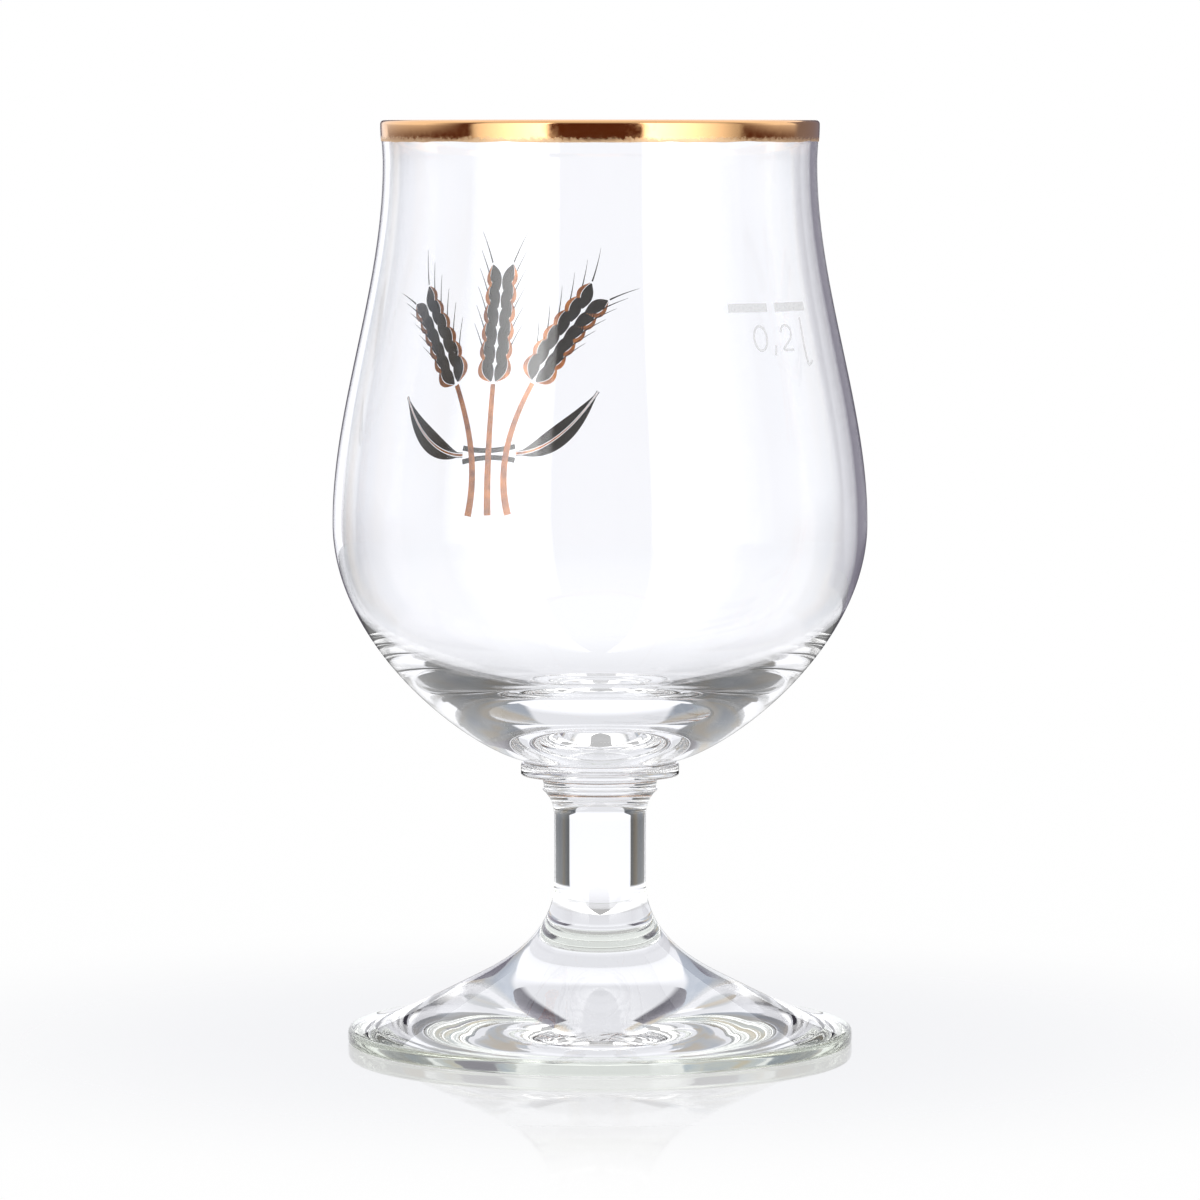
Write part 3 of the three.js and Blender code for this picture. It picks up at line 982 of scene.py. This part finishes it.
@dataclass(frozen=True)
class MeasureMark:
    """The fill line in two bars, with the measure below it."""

    azimuth: float = 45.4
    drop: float = 25.6
    bar_length: float = 6.85
    bar_height: float = 1.2
    bar_gap: float = 1.55
    figure_drop: float = 1.75
    figure_height: float = 3.7
    figure_width: float = 2.6
    stroke: float = 0.35
    shift: float = 2.4
    pitch: float = 5.1
    litre_pitch: float = 3.75
    comma_height: float = 1.4
    oval_steps: int = 48
    two: tuple[Pair, ...] = ((-1, 0.45), (-0.6, 0.9), (0.1, 1), (0.85, 0.7), (0.75, 0), (0, -0.45), (-0.85, -0.9),
                             (-0.3, -1), (1, -1))
    litre: tuple[Pair, ...] = ((-0.1, 1.6), (-0.1, -0.4), (0, -1.7), (0.3, -2.3), (1.1, -2))

    def piece(self, node: str, path: Array, width: float, closed: bool = False) -> Object:
        """One stroke as a piece, in place of its node.

        Args:
            node: The CAD node.
            path: Points of the stroke's middle line.
            width: The stroke's width.
            closed: Whether it runs back to its start.

        Returns:
            The piece.
        """
        film = Film(node + "_enamel", self.azimuth, LEVELS.rim - self.drop)
        film.ribbon(path, width, closed)
        return film.build(FROST, "frosted_enamel", node)

    def build(self) -> list[Object]:
        """Writes two bars, nought, comma, two and the letter for litre.

        Returns:
            The pieces.
        """
        near, far = self.bar_gap / 2, self.bar_gap / 2 + self.bar_length
        inset = self.stroke / 2
        half = np.array([self.figure_width / 2 - inset, self.figure_height / 2 - inset])
        middle = -self.bar_height / 2 - self.figure_drop - self.figure_height / 2
        low = middle - half[1]
        column = [self.shift - self.pitch, self.shift, self.shift + self.litre_pitch]
        comma = (column[0] + column[1]) / 2
        turned = 2 * np.pi * np.arange(self.oval_steps) / self.oval_steps
        oval = np.array([column[0], middle]) + half * np.stack([np.cos(turned), np.sin(turned)], axis=1)
        written = [(column[i] + np.asarray(shape)[:, 0] * half[0], middle + np.asarray(shape)[:, 1] * half[1])
                   for i, shape in ((1, self.two), (2, self.litre))]
        return [
            self.piece("measure_bar_left", line((-far, 0), (-near, 0)), self.bar_height),
            self.piece("measure_bar_right", line((near, 0), (far, 0)), self.bar_height),
            self.piece("figure_zero", oval, self.stroke, closed=True),
            self.piece("decimal_comma", line((comma + inset, low + self.comma_height / 2),
                                             (comma - inset, low - self.comma_height / 2)), self.stroke),
            self.piece("figure_two", smooth_path(np.stack(written[0], axis=1), steps=64), self.stroke),
            self.piece("litre_letter", smooth_path(np.stack(written[1], axis=1), steps=32), self.stroke),
        ]


class Side(Enum):
    """Which stalk, ear or leaf of the sheaf."""

    LEFT = -1
    CENTRE = 0
    RIGHT = 1


@dataclass(frozen=True)
class BarleySheaf:
    """A sheaf of barley fired on the far wall: black grains, blades and tie, edged and stalked in copper lustre."""

    azimuth: float = 206.7
    drop: float = 40.2
    foot: float = -17.7
    tie_height: float = -8.8
    tie_length: float = 8.4
    tie_width: float = 1.8
    tie_lift: float = 0.11
    tie_bow: float = 1.0
    tie_steps: int = 24
    band_share: float = 0.42
    stalk_width: float = 1.1
    stalk_taper: float = 0.7
    stalk_steps: int = 32
    spread_foot: float = 3.2
    spread_tie: float = 0.9
    spread_top: float = 6.4
    stalk_top: float = 1.5
    ear_gap: float = 0.4
    ear_top: float = 18.1
    ear_drop_outer: float = 4.0
    ear_spread: float = 16.0
    ear_steps: int = 60
    ear_filled: float = 0.84
    grains: int = 6
    grain_length: float = 4.0
    grain_width: float = 1.9
    grain_lean: float = 22.0
    grain_offset: float = 0.35
    grain_fullness: float = 0.8
    grain_steps: int = 12
    point: float = 0.02
    awn_length: float = 5.5
    awn_width: float = 0.22
    awn_root: float = 0.06
    awn_sway: float = 0.5
    awn_taper: float = 1.15
    awn_steps: int = 8
    edging_width: float = 0.7
    edging_gap: float = 0.1
    leaf_width: float = 3.2
    leaf_clearance: float = 1.1
    leaf_spread: float = 16.5
    leaf_rise: float = 9.0
    leaf_steps: int = 24
    rib_width: float = 0.34
    rib_taper: float = 1.1
    blade_least: float = 0.1

    def film(self, name: str, lift: float = Film.lift) -> Film:
        """An empty layer at the sheaf's place."""
        return Film(name, self.azimuth, LEVELS.rim - self.drop, lift)

    def stalk(self, side: Side) -> list[Pair]:
        """Control points of a stalk."""
        s = side.value
        return [(s * self.spread_foot, self.foot), (s * self.spread_tie, self.tie_height),
                (s * self.spread_top, self.stalk_top)]

    def ear(self, side: Side, steps: int) -> Array:
        """The line of an ear, a Bezier that goes on as its stalk ends and bows to its tip.

        Args:
            side: Which ear.
            steps: Number of equal parameter steps.

        Returns:
            An array of steps + 1 points.
        """
        controls = np.asarray(self.stalk(side), float)
        ahead = controls[2] - controls[1]
        ahead = ahead / np.linalg.norm(ahead)
        foot = controls[2] + ahead * self.ear_gap
        tip = np.array([side.value * self.ear_spread, self.ear_top - abs(side.value) * self.ear_drop_outer])
        bow = foot + ahead * np.linalg.norm(tip - foot) / 2
        return bezier([tuple(foot), tuple(bow), tuple(tip)], steps)

    def add_grain(self, black: Film, copper: Film, root: Array, ahead: Array, hand: float) -> None:
        """One grain, a pointed oval with its awn, and the copper crescent along its outer edge.

        The oval's width is the sine of the share along it, to the power of its fullness, times the grain's width.

        Args:
            black: The layer of the grain.
            copper: The layer of the crescent.
            root: Where the grain sits.
            ahead: Its direction.
            hand: Which side of it is the outer one: 1 left, -1 right.
        """
        share = np.linspace(0, 1, self.grain_steps + 1)
        out = hand * np.array([-ahead[1], ahead[0]])
        middle = root + ahead * (share * self.grain_length)[:, None]
        swell = np.sin(np.pi * np.clip(share, self.point, 1 - self.point))
        width = self.grain_width * swell ** self.grain_fullness
        black.ribbon(middle, width)
        beard = np.linspace(self.awn_root, 1, self.awn_steps + 1)[:, None]
        sway = out * self.awn_sway * beard ** 2
        black.ribbon(middle[-1] + ahead * self.awn_length * beard + sway,
                     self.awn_width * (self.awn_taper - beard[:, 0]))
        brim = self.edging_width * swell
        copper.ribbon(middle + out * (width / 2 + self.edging_gap + brim / 2)[:, None], brim)

    def build_ear(self, side: Side) -> list[Object]:
        """An ear: pairs of grains along its line.

        Args:
            side: Which ear.

        Returns:
            Its grains and their edging.
        """
        word = side.name.lower()
        black, copper = self.film(f"barley_ear_{word}_grains"), self.film(f"barley_ear_{word}_edging")
        spine = self.ear(side, self.ear_steps)
        run, left = headings(spine)
        for place in np.linspace(0, self.ear_filled, self.grains):
            at = int(round(place * self.ear_steps))
            for hand in (1.0, -1.0):
                lean = hand * math.radians(self.grain_lean)
                leaning = np.array([[math.cos(lean), -math.sin(lean)], [math.sin(lean), math.cos(lean)]])
                root = spine[at] + self.grain_offset * hand * left[at]
                self.add_grain(black, copper, root, leaning @ run[at], hand)
        return [black.build(BLACK, "black_enamel", f"barley_ear_{word}"), copper.build(LUSTRE, "copper_lustre")]

    def build_leaf(self, side: Side) -> list[Object]:
        """A leaf: two black halves of a blade, as wide as a sine of the share along it, with a copper rib between them.

        Args:
            side: Which leaf.

        Returns:
            Its blade and its rib.
        """
        word, s = side.name.lower(), side.value
        root = (s * (self.spread_foot + self.leaf_clearance), self.tie_height)
        tip = (s * self.leaf_spread, self.tie_height + self.leaf_rise)
        spine = bezier([root, ((root[0] + tip[0]) / 2, self.tie_height), tip], self.leaf_steps)
        _, left = headings(spine)
        share = np.clip(np.linspace(0, 1, len(spine)), self.point, 1 - self.point)
        rib = self.rib_width * (self.rib_taper - share)
        half = (self.leaf_width * np.sin(np.pi * share) - rib) / 2 - self.edging_gap
        half = np.maximum(half, self.blade_least)
        blade, vein = self.film(f"barley_leaf_{word}_blade"), self.film(f"barley_leaf_{word}_rib")
        for hand in (1, -1):
            blade.ribbon(spine + hand * left * ((rib + half) / 2 + self.edging_gap)[:, None], half)
        vein.ribbon(spine, rib)
        return [blade.build(BLACK, "black_enamel", f"barley_leaf_{word}"), vein.build(LUSTRE, "copper_lustre")]

    def build(self) -> list[Object]:
        """Makes three stalks with their ears, two leaves and the tie.

        Returns:
            The pieces.
        """
        pieces: list[Object] = []
        for side in Side:
            word = side.name.lower()
            stalk = self.film(f"barley_stalk_{word}_lustre")
            line_up = bezier(self.stalk(side), self.stalk_steps)
            stalk.ribbon(line_up, self.stalk_width * np.linspace(1, self.stalk_taper, len(line_up)))
            pieces.append(stalk.build(LUSTRE, "copper_lustre", f"barley_stalk_{word}"))
            pieces += self.build_ear(side)
        for side in (Side.LEFT, Side.RIGHT):
            pieces += self.build_leaf(side)
        tie = self.film("barley_tie_bands", self.tie_lift)
        band = self.band_share * self.tie_width
        for step in (-0.5, 0.5):
            level = self.tie_height + step * (self.tie_width - band)
            ends, middle = level + step * self.tie_bow, level - step * self.tie_bow
            reach = self.tie_length / 2
            tie.ribbon(bezier([(-reach, ends), (0, middle), (reach, ends)], self.tie_steps), band)
        pieces.append(tie.build(BLACK, "black_enamel", "barley_tie"))
        return pieces


# Studio


def set_stage(mesh: Mesh, name: str, shade: Callable[[NodeTree], Node]) -> Object:
    """Makes a piece of the stage, which isn't part of the glass.

    Args:
        mesh: Its mesh, whose name it takes.
        name: The name of its material.
        shade: Adds the material's nodes and returns the shader that they end in.

    Returns:
        The piece.
    """
    material = bpy.data.materials.new(name)
    give_nodes(material, shade)
    mesh.materials.append(material)
    piece = add_object(mesh)
    return piece


@dataclass(frozen=True)
class Table:
    """White acrylic table top: bright by itself, so it shows white, with a faint shadow and a fading mirror image.

    Pairs of radii are where something is full and where it has died out.
    """

    radius: float = 600.0
    drop: float = 0.05
    glow: float = 0.9
    lit_radii: Pair = (60.0, 380.0)
    mirror: float = 1.1
    mirror_radii: Pair = (36.0, 135.0)
    polish: float = 0.03
    ior: float = 1.45

    def shader(self, tree: NodeTree) -> Node:
        """Light of its own and a little matt white, under a gloss that dies out away from the foot.

        The gloss is stronger the flatter one looks. What is mirrored of the table is a painted pool of light: its glow
        is full near the foot and fades further out.

        Args:
            tree: The material's node tree.

        Returns:
            The shader.
        """
        add = partial(add_node, tree)
        place = add("TexCoord").outputs["Object"]
        away = add("VectorMath", place, operation="LENGTH")
        share, lit = (
            add("MapRange", away, *(radius * MM for radius in radii), full, 0.0, interpolation_type="SMOOTHSTEP")
            for radii, full in ((self.mirror_radii, self.mirror), (self.lit_radii, 1.0)))
        share = add("Math", share, add("Fresnel", self.ior), operation="MULTIPLY")
        # Painted pool of light: the eye sees the glow even all over, and mirrored rays see it fade away from the foot.
        lit = add("Math", add("LightPath").outputs["Is Camera Ray"], lit, operation="MAXIMUM")
        lit = add("Math", lit, self.glow, operation="MULTIPLY")
        glow = add("Emission", named={"Strength": lit})
        matt = add("BsdfDiffuse", grey(1 - self.glow))
        white = add("AddShader", glow, matt)
        gloss = add("BsdfGlossy", named={"Roughness": self.polish})
        return add("MixShader", share, white, gloss)

    def build(self) -> Object:
        """Sets the table top just under the foot; the glass looks past it into the surroundings.

        Returns:
            The table top, dressed.
        """
        mesh = turn("table_top", [straight((self.radius, -self.drop), (0, -self.drop), steps=2)])
        table = set_stage(mesh, "white_acrylic_sheet", self.shader)
        table.visible_transmission = False
        return table


@dataclass(frozen=True)
class EdgeCards:
    """Two grey cards on a clear ring around the glass, which draw the dark lines along the bowl's edges.

    They stand behind the glass, left and right, higher than its foot. Angles are in degrees from +Y towards +X: where
    a card starts and where it is complete, at its inner and at its outer end. Only a ray that was mirrored so many
    times, give or take the second number, and that last touched something within reach, sees them.
    """

    radius: float = 150.0
    heights: Pair = (35.0, 190.0)
    left: tuple[Pair, Pair] = ((-15.0, -17.0), (-30.0, -25.0))
    right: tuple[Pair, Pair] = ((15.0, 17.0), (68.0, 64.0))
    shades: tuple[str, str] = ("#585560", "#817D8A")
    shade_angles: Pair = (19.0, 28.0)
    mirrorings: Pair = (2.0, 1.2)
    reach: float = 175.0

    def shader(self, tree: NodeTree) -> Node:
        """Plain grey, darker towards the middle, and clear elsewhere on the ring and for all other rays.

        Args:
            tree: The material's node tree.

        Returns:
            The shader.
        """
        add = partial(add_node, tree)
        place = add("TexCoord").outputs["Object"]
        x, y, _ = add("SeparateXYZ", place).outputs
        azimuth = add("Math", add("Math", x, y, operation="ARCTAN2"), operation="DEGREES")
        cards: Any = 0.0
        for ends in (self.left, self.right):
            inner, outer = (add("MapRange", azimuth, *end) for end in ends)
            cards = add("Math", inner, outer, cards, operation="MULTIPLY_ADD")
        rays = add("LightPath").outputs
        seen = add("Math", rays["Glossy Depth"], *self.mirrorings, operation="COMPARE")
        close = add("Math", rays["Ray Length"], self.reach * MM, operation="LESS_THAN")
        for share in (close, cards):
            seen = add("Math", seen, share, operation="MULTIPLY")
        fade = add("MapRange", add("Math", azimuth, operation="ABSOLUTE"), *self.shade_angles)
        shade = add("Mix", fade, *(linear(colour) for colour in self.shades), data_type="RGBA")
        return add("MixShader", seen, add("BsdfTransparent"), add("Emission", shade))

    def build(self) -> Object:
        """Sets the ring around the glass, where it throws no shadow.

        Returns:
            The ring with its cards, dressed.
        """
        low, high = self.heights
        mesh = turn("edge_card_ring", [straight((self.radius, low), (self.radius, high))])
        ring = set_stage(mesh, "grey_card", self.shader)
        ring.visible_camera = ring.visible_diffuse = ring.visible_shadow = False
        return ring


@dataclass(frozen=True)
class Sight:
    """Where a ray looks and what it met on its way, as nodes of the world.

    Angles are in degrees: away is measured from the nearer of +Y and -Y, facing from -Y towards +X, and height from
    the horizon. Bends and mirrorings say how often a ray was bent and thrown back. Plain is 1 for one that comes from
    the eye or from something matt, and mirrored is 1 for one that was ever thrown back. That one is inside if it was
    also bent, deep in the glass, and outside if it wasn't, as on the gilt, the table and the glass's outer faces.
    """

    way: NodeSocket
    away: Node
    facing: Node
    height: Node
    bends: NodeSocket
    mirrorings: NodeSocket
    plain: Node
    mirrored: Node
    inside: Node
    outside: Node

    QUARTER: ClassVar[float] = 90.0
    EVER: ClassVar[float] = 0.5

    @classmethod
    def of_world(cls, tree: NodeTree) -> "Sight":
        """Adds the nodes that read a ray's direction and path.

        Args:
            tree: The world's node tree.

        Returns:
            The nodes.
        """
        add = partial(add_node, tree)
        way = add("TexCoord").outputs["Generated"]
        x, y, z = add("SeparateXYZ", way).outputs
        forward = add("Math", y, -1.0, operation="MULTIPLY")
        azimuth, facing, height = (
            add("Math", add("Math", *sides, operation=operation), operation="DEGREES")
            for operation, *sides in (("ARCTAN2", x, y), ("ARCTAN2", x, forward), ("ARCSINE", z)))
        away = add("Math", azimuth, cls.QUARTER, operation="PINGPONG")
        rays = add("LightPath").outputs
        bends, mirrorings = rays["Transmission Depth"], rays["Glossy Depth"]
        plain = add("Math", rays["Is Camera Ray"], rays["Is Diffuse Ray"], operation="MAXIMUM")
        mirrored = add("Math", mirrorings, cls.EVER, operation="GREATER_THAN")
        inside = add("Math", bends, mirrored, operation="MINIMUM")
        outside = add("Math", mirrored, inside, operation="SUBTRACT")
        return cls(way, away, facing, height, bends, mirrorings, plain, mirrored, inside, outside)


@dataclass(frozen=True)
class Surroundings:
    """What the glass bends into view: white sheets before and behind, grey flags between them, and a room in front.

    The eye itself sees plain white. Angles are in degrees, as a ray's sight has them. A pair is where something starts
    and where it is complete. Two bends is a count, and how far off a count may be. Sheet, flag end, flag levels and
    lamp levels are what holds at the first and at the second of the heights, passes or angles that go with them.
    """

    sheet: Pair = (31.5, 23.0)
    sheet_heights: Pair = (-1.0, 5.0)
    white: float = 1.1
    below: float = 0.82
    below_heights: Pair = (-14.0, -40.0)
    above: float = 0.82
    above_heights: Pair = (5.0, 10.0)
    sheen: str = "#F9FAFF"
    flag_end: Pair = (72.0, 76.0)
    flag_end_heights: Pair = (-1.0, 2.0)
    flag_foot: Pair = (-13.0, -10.0)
    flag_top: Pair = (50.0, 42.0)
    flag_soft: Pair = (-1.2, 1.2)
    flag_longer: float = 40.0
    flag_lower: float = 19.0
    flag_lift: float = 47.0
    two_bends: Pair = (2.0, 0.5)
    flag_edge: float = 0.09
    flag_deep: float = 0.2
    flag_fade: float = 11.0
    flag_levels: Pair = (0.65, 0.1)
    flag_passes: Pair = (4.5, 8.0)
    flag_tints: tuple[str, str, str] = ("#F6E8D2", "#EEF2F6", "#DAE5F5")
    tint_size: float = 0.35
    tint_detail: float = 1.0
    warm_patches: Pair = (0.48, 0.36)
    cool_patches: Pair = (0.52, 0.64)
    softboxes: tuple[Pair, Pair] = ((-70.0, -27.5), (23.0, 79.0))
    softbox_soft: float = 1.5
    lamp_spread: Pair = (24.0, 75.0)
    lamp_levels: Pair = (3.2, 0.6)
    room: str = "#55301F"
    room_top: Pair = (32.0, 48.0)
    room_foot: Pair = (-9.0, -16.0)
    tent: float = 0.7
    counter: float = 0.45
    fill: float = 0.5
    half_turn: Pair = (76.0, 104.0)
    half_turn_inside: float = 20.0

    def white_light(self, tree: NodeTree, sight: Sight) -> Node:
        """The sheets' light: seen through the glass, a little less comes from the table and from the upper wall.

        Args:
            tree: The world's node tree.
            sight: Where a ray looks.

        Returns:
            The colour there.
        """
        add = partial(add_node, tree)
        bright: Any = self.white
        for heights, level in ((self.below_heights, self.below), (self.above_heights, self.above)):
            share = add("MapRange", sight.height, *heights)
            bright = add("Math", share, level - self.white, bright, operation="MULTIPLY_ADD")
        full = add("Math", sight.outside, self.white, operation="MULTIPLY")
        bright = add("Math", bright, full, operation="MAXIMUM")
        return add("VectorMath", linear(self.sheen)[:3], bright, operation="MULTIPLY")

    def flags(self, tree: NodeTree, sight: Sight) -> tuple[Node, Node]:
        """Grey flags from the white sheet's edge to the side panels: a product of soft steps at their four edges.

        A mirrored ray comes from deep in the glass, where the flags stand nearer: they reach further down and, unless
        it was bent just twice, on to the side panels. An outer face and the table mirror only their lower part.

        Args:
            tree: The world's node tree.
            sight: Where a ray looks.

        Returns:
            How much the flags cover there, and their colour.
        """
        add = partial(add_node, tree)
        sheet = add("MapRange", sight.height, *self.sheet_heights, *self.sheet)
        past = add("Math", sight.away, sheet, operation="SUBTRACT")
        end = add("MapRange", sight.height, *self.flag_end_heights, *self.flag_end)
        twice = add("Math", sight.bends, *self.two_bends, operation="COMPARE")
        deep = add("Math", sight.mirrored, twice, operation="SUBTRACT", use_clamp=True)
        end, sunk, raised = (
            add("Math", kind, step, value, operation="MULTIPLY_ADD")
            for kind, step, value in ((deep, self.flag_longer, end), (sight.mirrored, self.flag_lower, sight.height),
                                      (sight.outside, self.flag_lift, sight.height)))
        left = add("Math", end, sight.away, operation="SUBTRACT")
        cover: Any = 1.0
        for value, step in ((past, self.flag_soft), (left, self.flag_soft), (sunk, self.flag_foot),
                            (raised, self.flag_top)):
            share = add("MapRange", value, *step, interpolation_type="SMOOTHSTEP")
            cover = add("Math", cover, share, operation="MULTIPLY")
        return cover, self.flag_colour(tree, sight, past)

    def flag_colour(self, tree: NodeTree, sight: Sight, past: Node) -> Node:
        """The flags' grey: darkest beside the sheet, and warm and cool in patches.

        Deep in the glass it is the darker the more faces a ray has passed. Outer faces see the room's colour there.

        Args:
            tree: The world's node tree.
            sight: Where a ray looks.
            past: How far that is past the sheet's edge.

        Returns:
            The colour there.
        """
        add = partial(add_node, tree)
        level = add("MapRange", past, 0.0, self.flag_fade, self.flag_edge, self.flag_deep)
        passes = add("Math", sight.mirrorings, sight.bends, operation="ADD")
        often = add("MapRange", passes, *self.flag_passes, *self.flag_levels)
        level = add("Mix", sight.inside, level, often)
        patch = add("TexNoise", sight.way, 1 / self.tint_size, self.tint_detail)
        warm, tint, cool = (linear(colour) for colour in self.flag_tints)
        for colour, step in ((warm, self.warm_patches), (cool, self.cool_patches)):
            tint = add("Mix", add("MapRange", patch, *step), tint, colour, data_type="RGBA")
        dark = add("VectorMath", tint, level, operation="MULTIPLY")
        return add("Mix", sight.outside, dark, linear(self.room), data_type="RGBA")

    def front(self, tree: NodeTree, sight: Sight, side: Node) -> Node:
        """What shines sees two softboxes in a dim warm room in front, a tent above it and a counter below.

        Args:
            tree: The world's node tree.
            sight: Where a ray looks.
            side: How far that is from straight ahead, to either side.

        Returns:
            The colour there.
        """
        add = partial(add_node, tree)
        lamp = add("MapRange", side, *self.lamp_spread, *self.lamp_levels)
        colour: Any = linear(self.room)
        for edges in self.softboxes:
            ends = (add("MapRange", sight.facing, edge - soft, edge + soft)
                    for edge, soft in zip(edges, (self.softbox_soft, -self.softbox_soft)))
            box = add("Math", *ends, operation="MULTIPLY")
            colour = add("Mix", box, colour, lamp, data_type="RGBA")
        tent = add("MapRange", sight.height, *self.room_top)
        colour = add("Mix", tent, colour, grey(self.tent), data_type="RGBA")
        counter = add("MapRange", sight.height, *self.room_foot, 0.0, self.counter)
        fill = add("Math", sight.inside, self.fill, operation="MULTIPLY")
        for least in (counter, fill):
            colour = add("VectorMath", colour, least, operation="MAXIMUM")
        return colour

    def shader(self, tree: NodeTree) -> Node:
        """Sheets and flags for a bent ray, the front for a mirrored one that goes there, and white for all others.

        Args:
            tree: The world's node tree.

        Returns:
            The shader.
        """
        add = partial(add_node, tree)
        sight = Sight.of_world(tree)
        cover, dark = self.flags(tree, sight)
        through = add("Mix", cover, self.white_light(tree, sight), dark, data_type="RGBA")
        side = add("Math", sight.facing, operation="ABSOLUTE")
        turned = add("Math", sight.inside, self.half_turn_inside, side, operation="MULTIPLY_ADD")
        behind = add("MapRange", turned, *self.half_turn)
        shine = add("Mix", behind, self.front(tree, sight, side), through, data_type="RGBA")
        bent = add("Mix", sight.mirrored, through, shine, data_type="RGBA")
        colour = add("Mix", sight.plain, bent, grey(1.0), data_type="RGBA")
        return add("Background", colour, 1.0)

    def build(self) -> World:
        """Puts the surroundings into the scene.

        Returns:
            The world.
        """
        world = bpy.data.worlds.new("white_studio")
        give_nodes(world, self.shader)
        bpy.context.scene.world = world
        return world


@dataclass(frozen=True)
class Camera:
    """A long lens, level with the rim and aimed a little down, for a square picture."""

    place: tuple[float, float, float] = (0.0, -926.1, 132.0)
    aim: tuple[float, float, float] = (0.0, 0.0, 62.8)
    lens: float = 196.8
    sensor: float = 36.0
    reach: Pair = (0.01, 20.0)

    def build(self) -> Object:
        """Puts the camera in its place.

        Returns:
            The camera, in use by the scene.
        """
        data = bpy.data.cameras.new("studio_camera")
        data.sensor_width, data.lens = self.sensor, self.lens
        data.clip_start, data.clip_end = self.reach
        camera = add_object(data)
        camera.location = Vector(self.place) * MM
        camera.rotation_euler = (Vector(self.aim) - Vector(self.place)).to_track_quat("-Z", "Y").to_euler()
        bpy.context.scene.camera = camera
        return camera


@dataclass(frozen=True)
class Studio:
    """Table, edge cards, surroundings and camera, and how often a ray may bend."""

    bends: int = 32
    mirrorings: int = 24
    table: Table = field(default_factory=Table)
    cards: EdgeCards = field(default_factory=EdgeCards)
    surroundings: Surroundings = field(default_factory=Surroundings)
    camera: Camera = field(default_factory=Camera)

    def build(self) -> None:
        """Sets the scene around the glass."""
        for piece in (self.table, self.cards, self.surroundings, self.camera):
            LOG.info("%s: part of the studio", piece.build().name)
        scene = bpy.context.scene
        scene.view_settings.view_transform = "Standard"
        scene.cycles.max_bounces = self.bends
        scene.cycles.transmission_bounces = self.bends
        scene.cycles.transparent_max_bounces = self.bends
        scene.cycles.glossy_bounces = self.mirrorings


def main() -> None:
    """Builds the glass from the foot up, then its fired layers and the studio."""
    logging.basicConfig(level=logging.INFO, format="%(name)s: %(message)s")
    for part in (Foot(), Stem(), Collar(), Bowl(), GiltRim(), MeasureMark(), BarleySheaf(), Studio()):
        part.build()


if __name__ == "__main__":
    main()
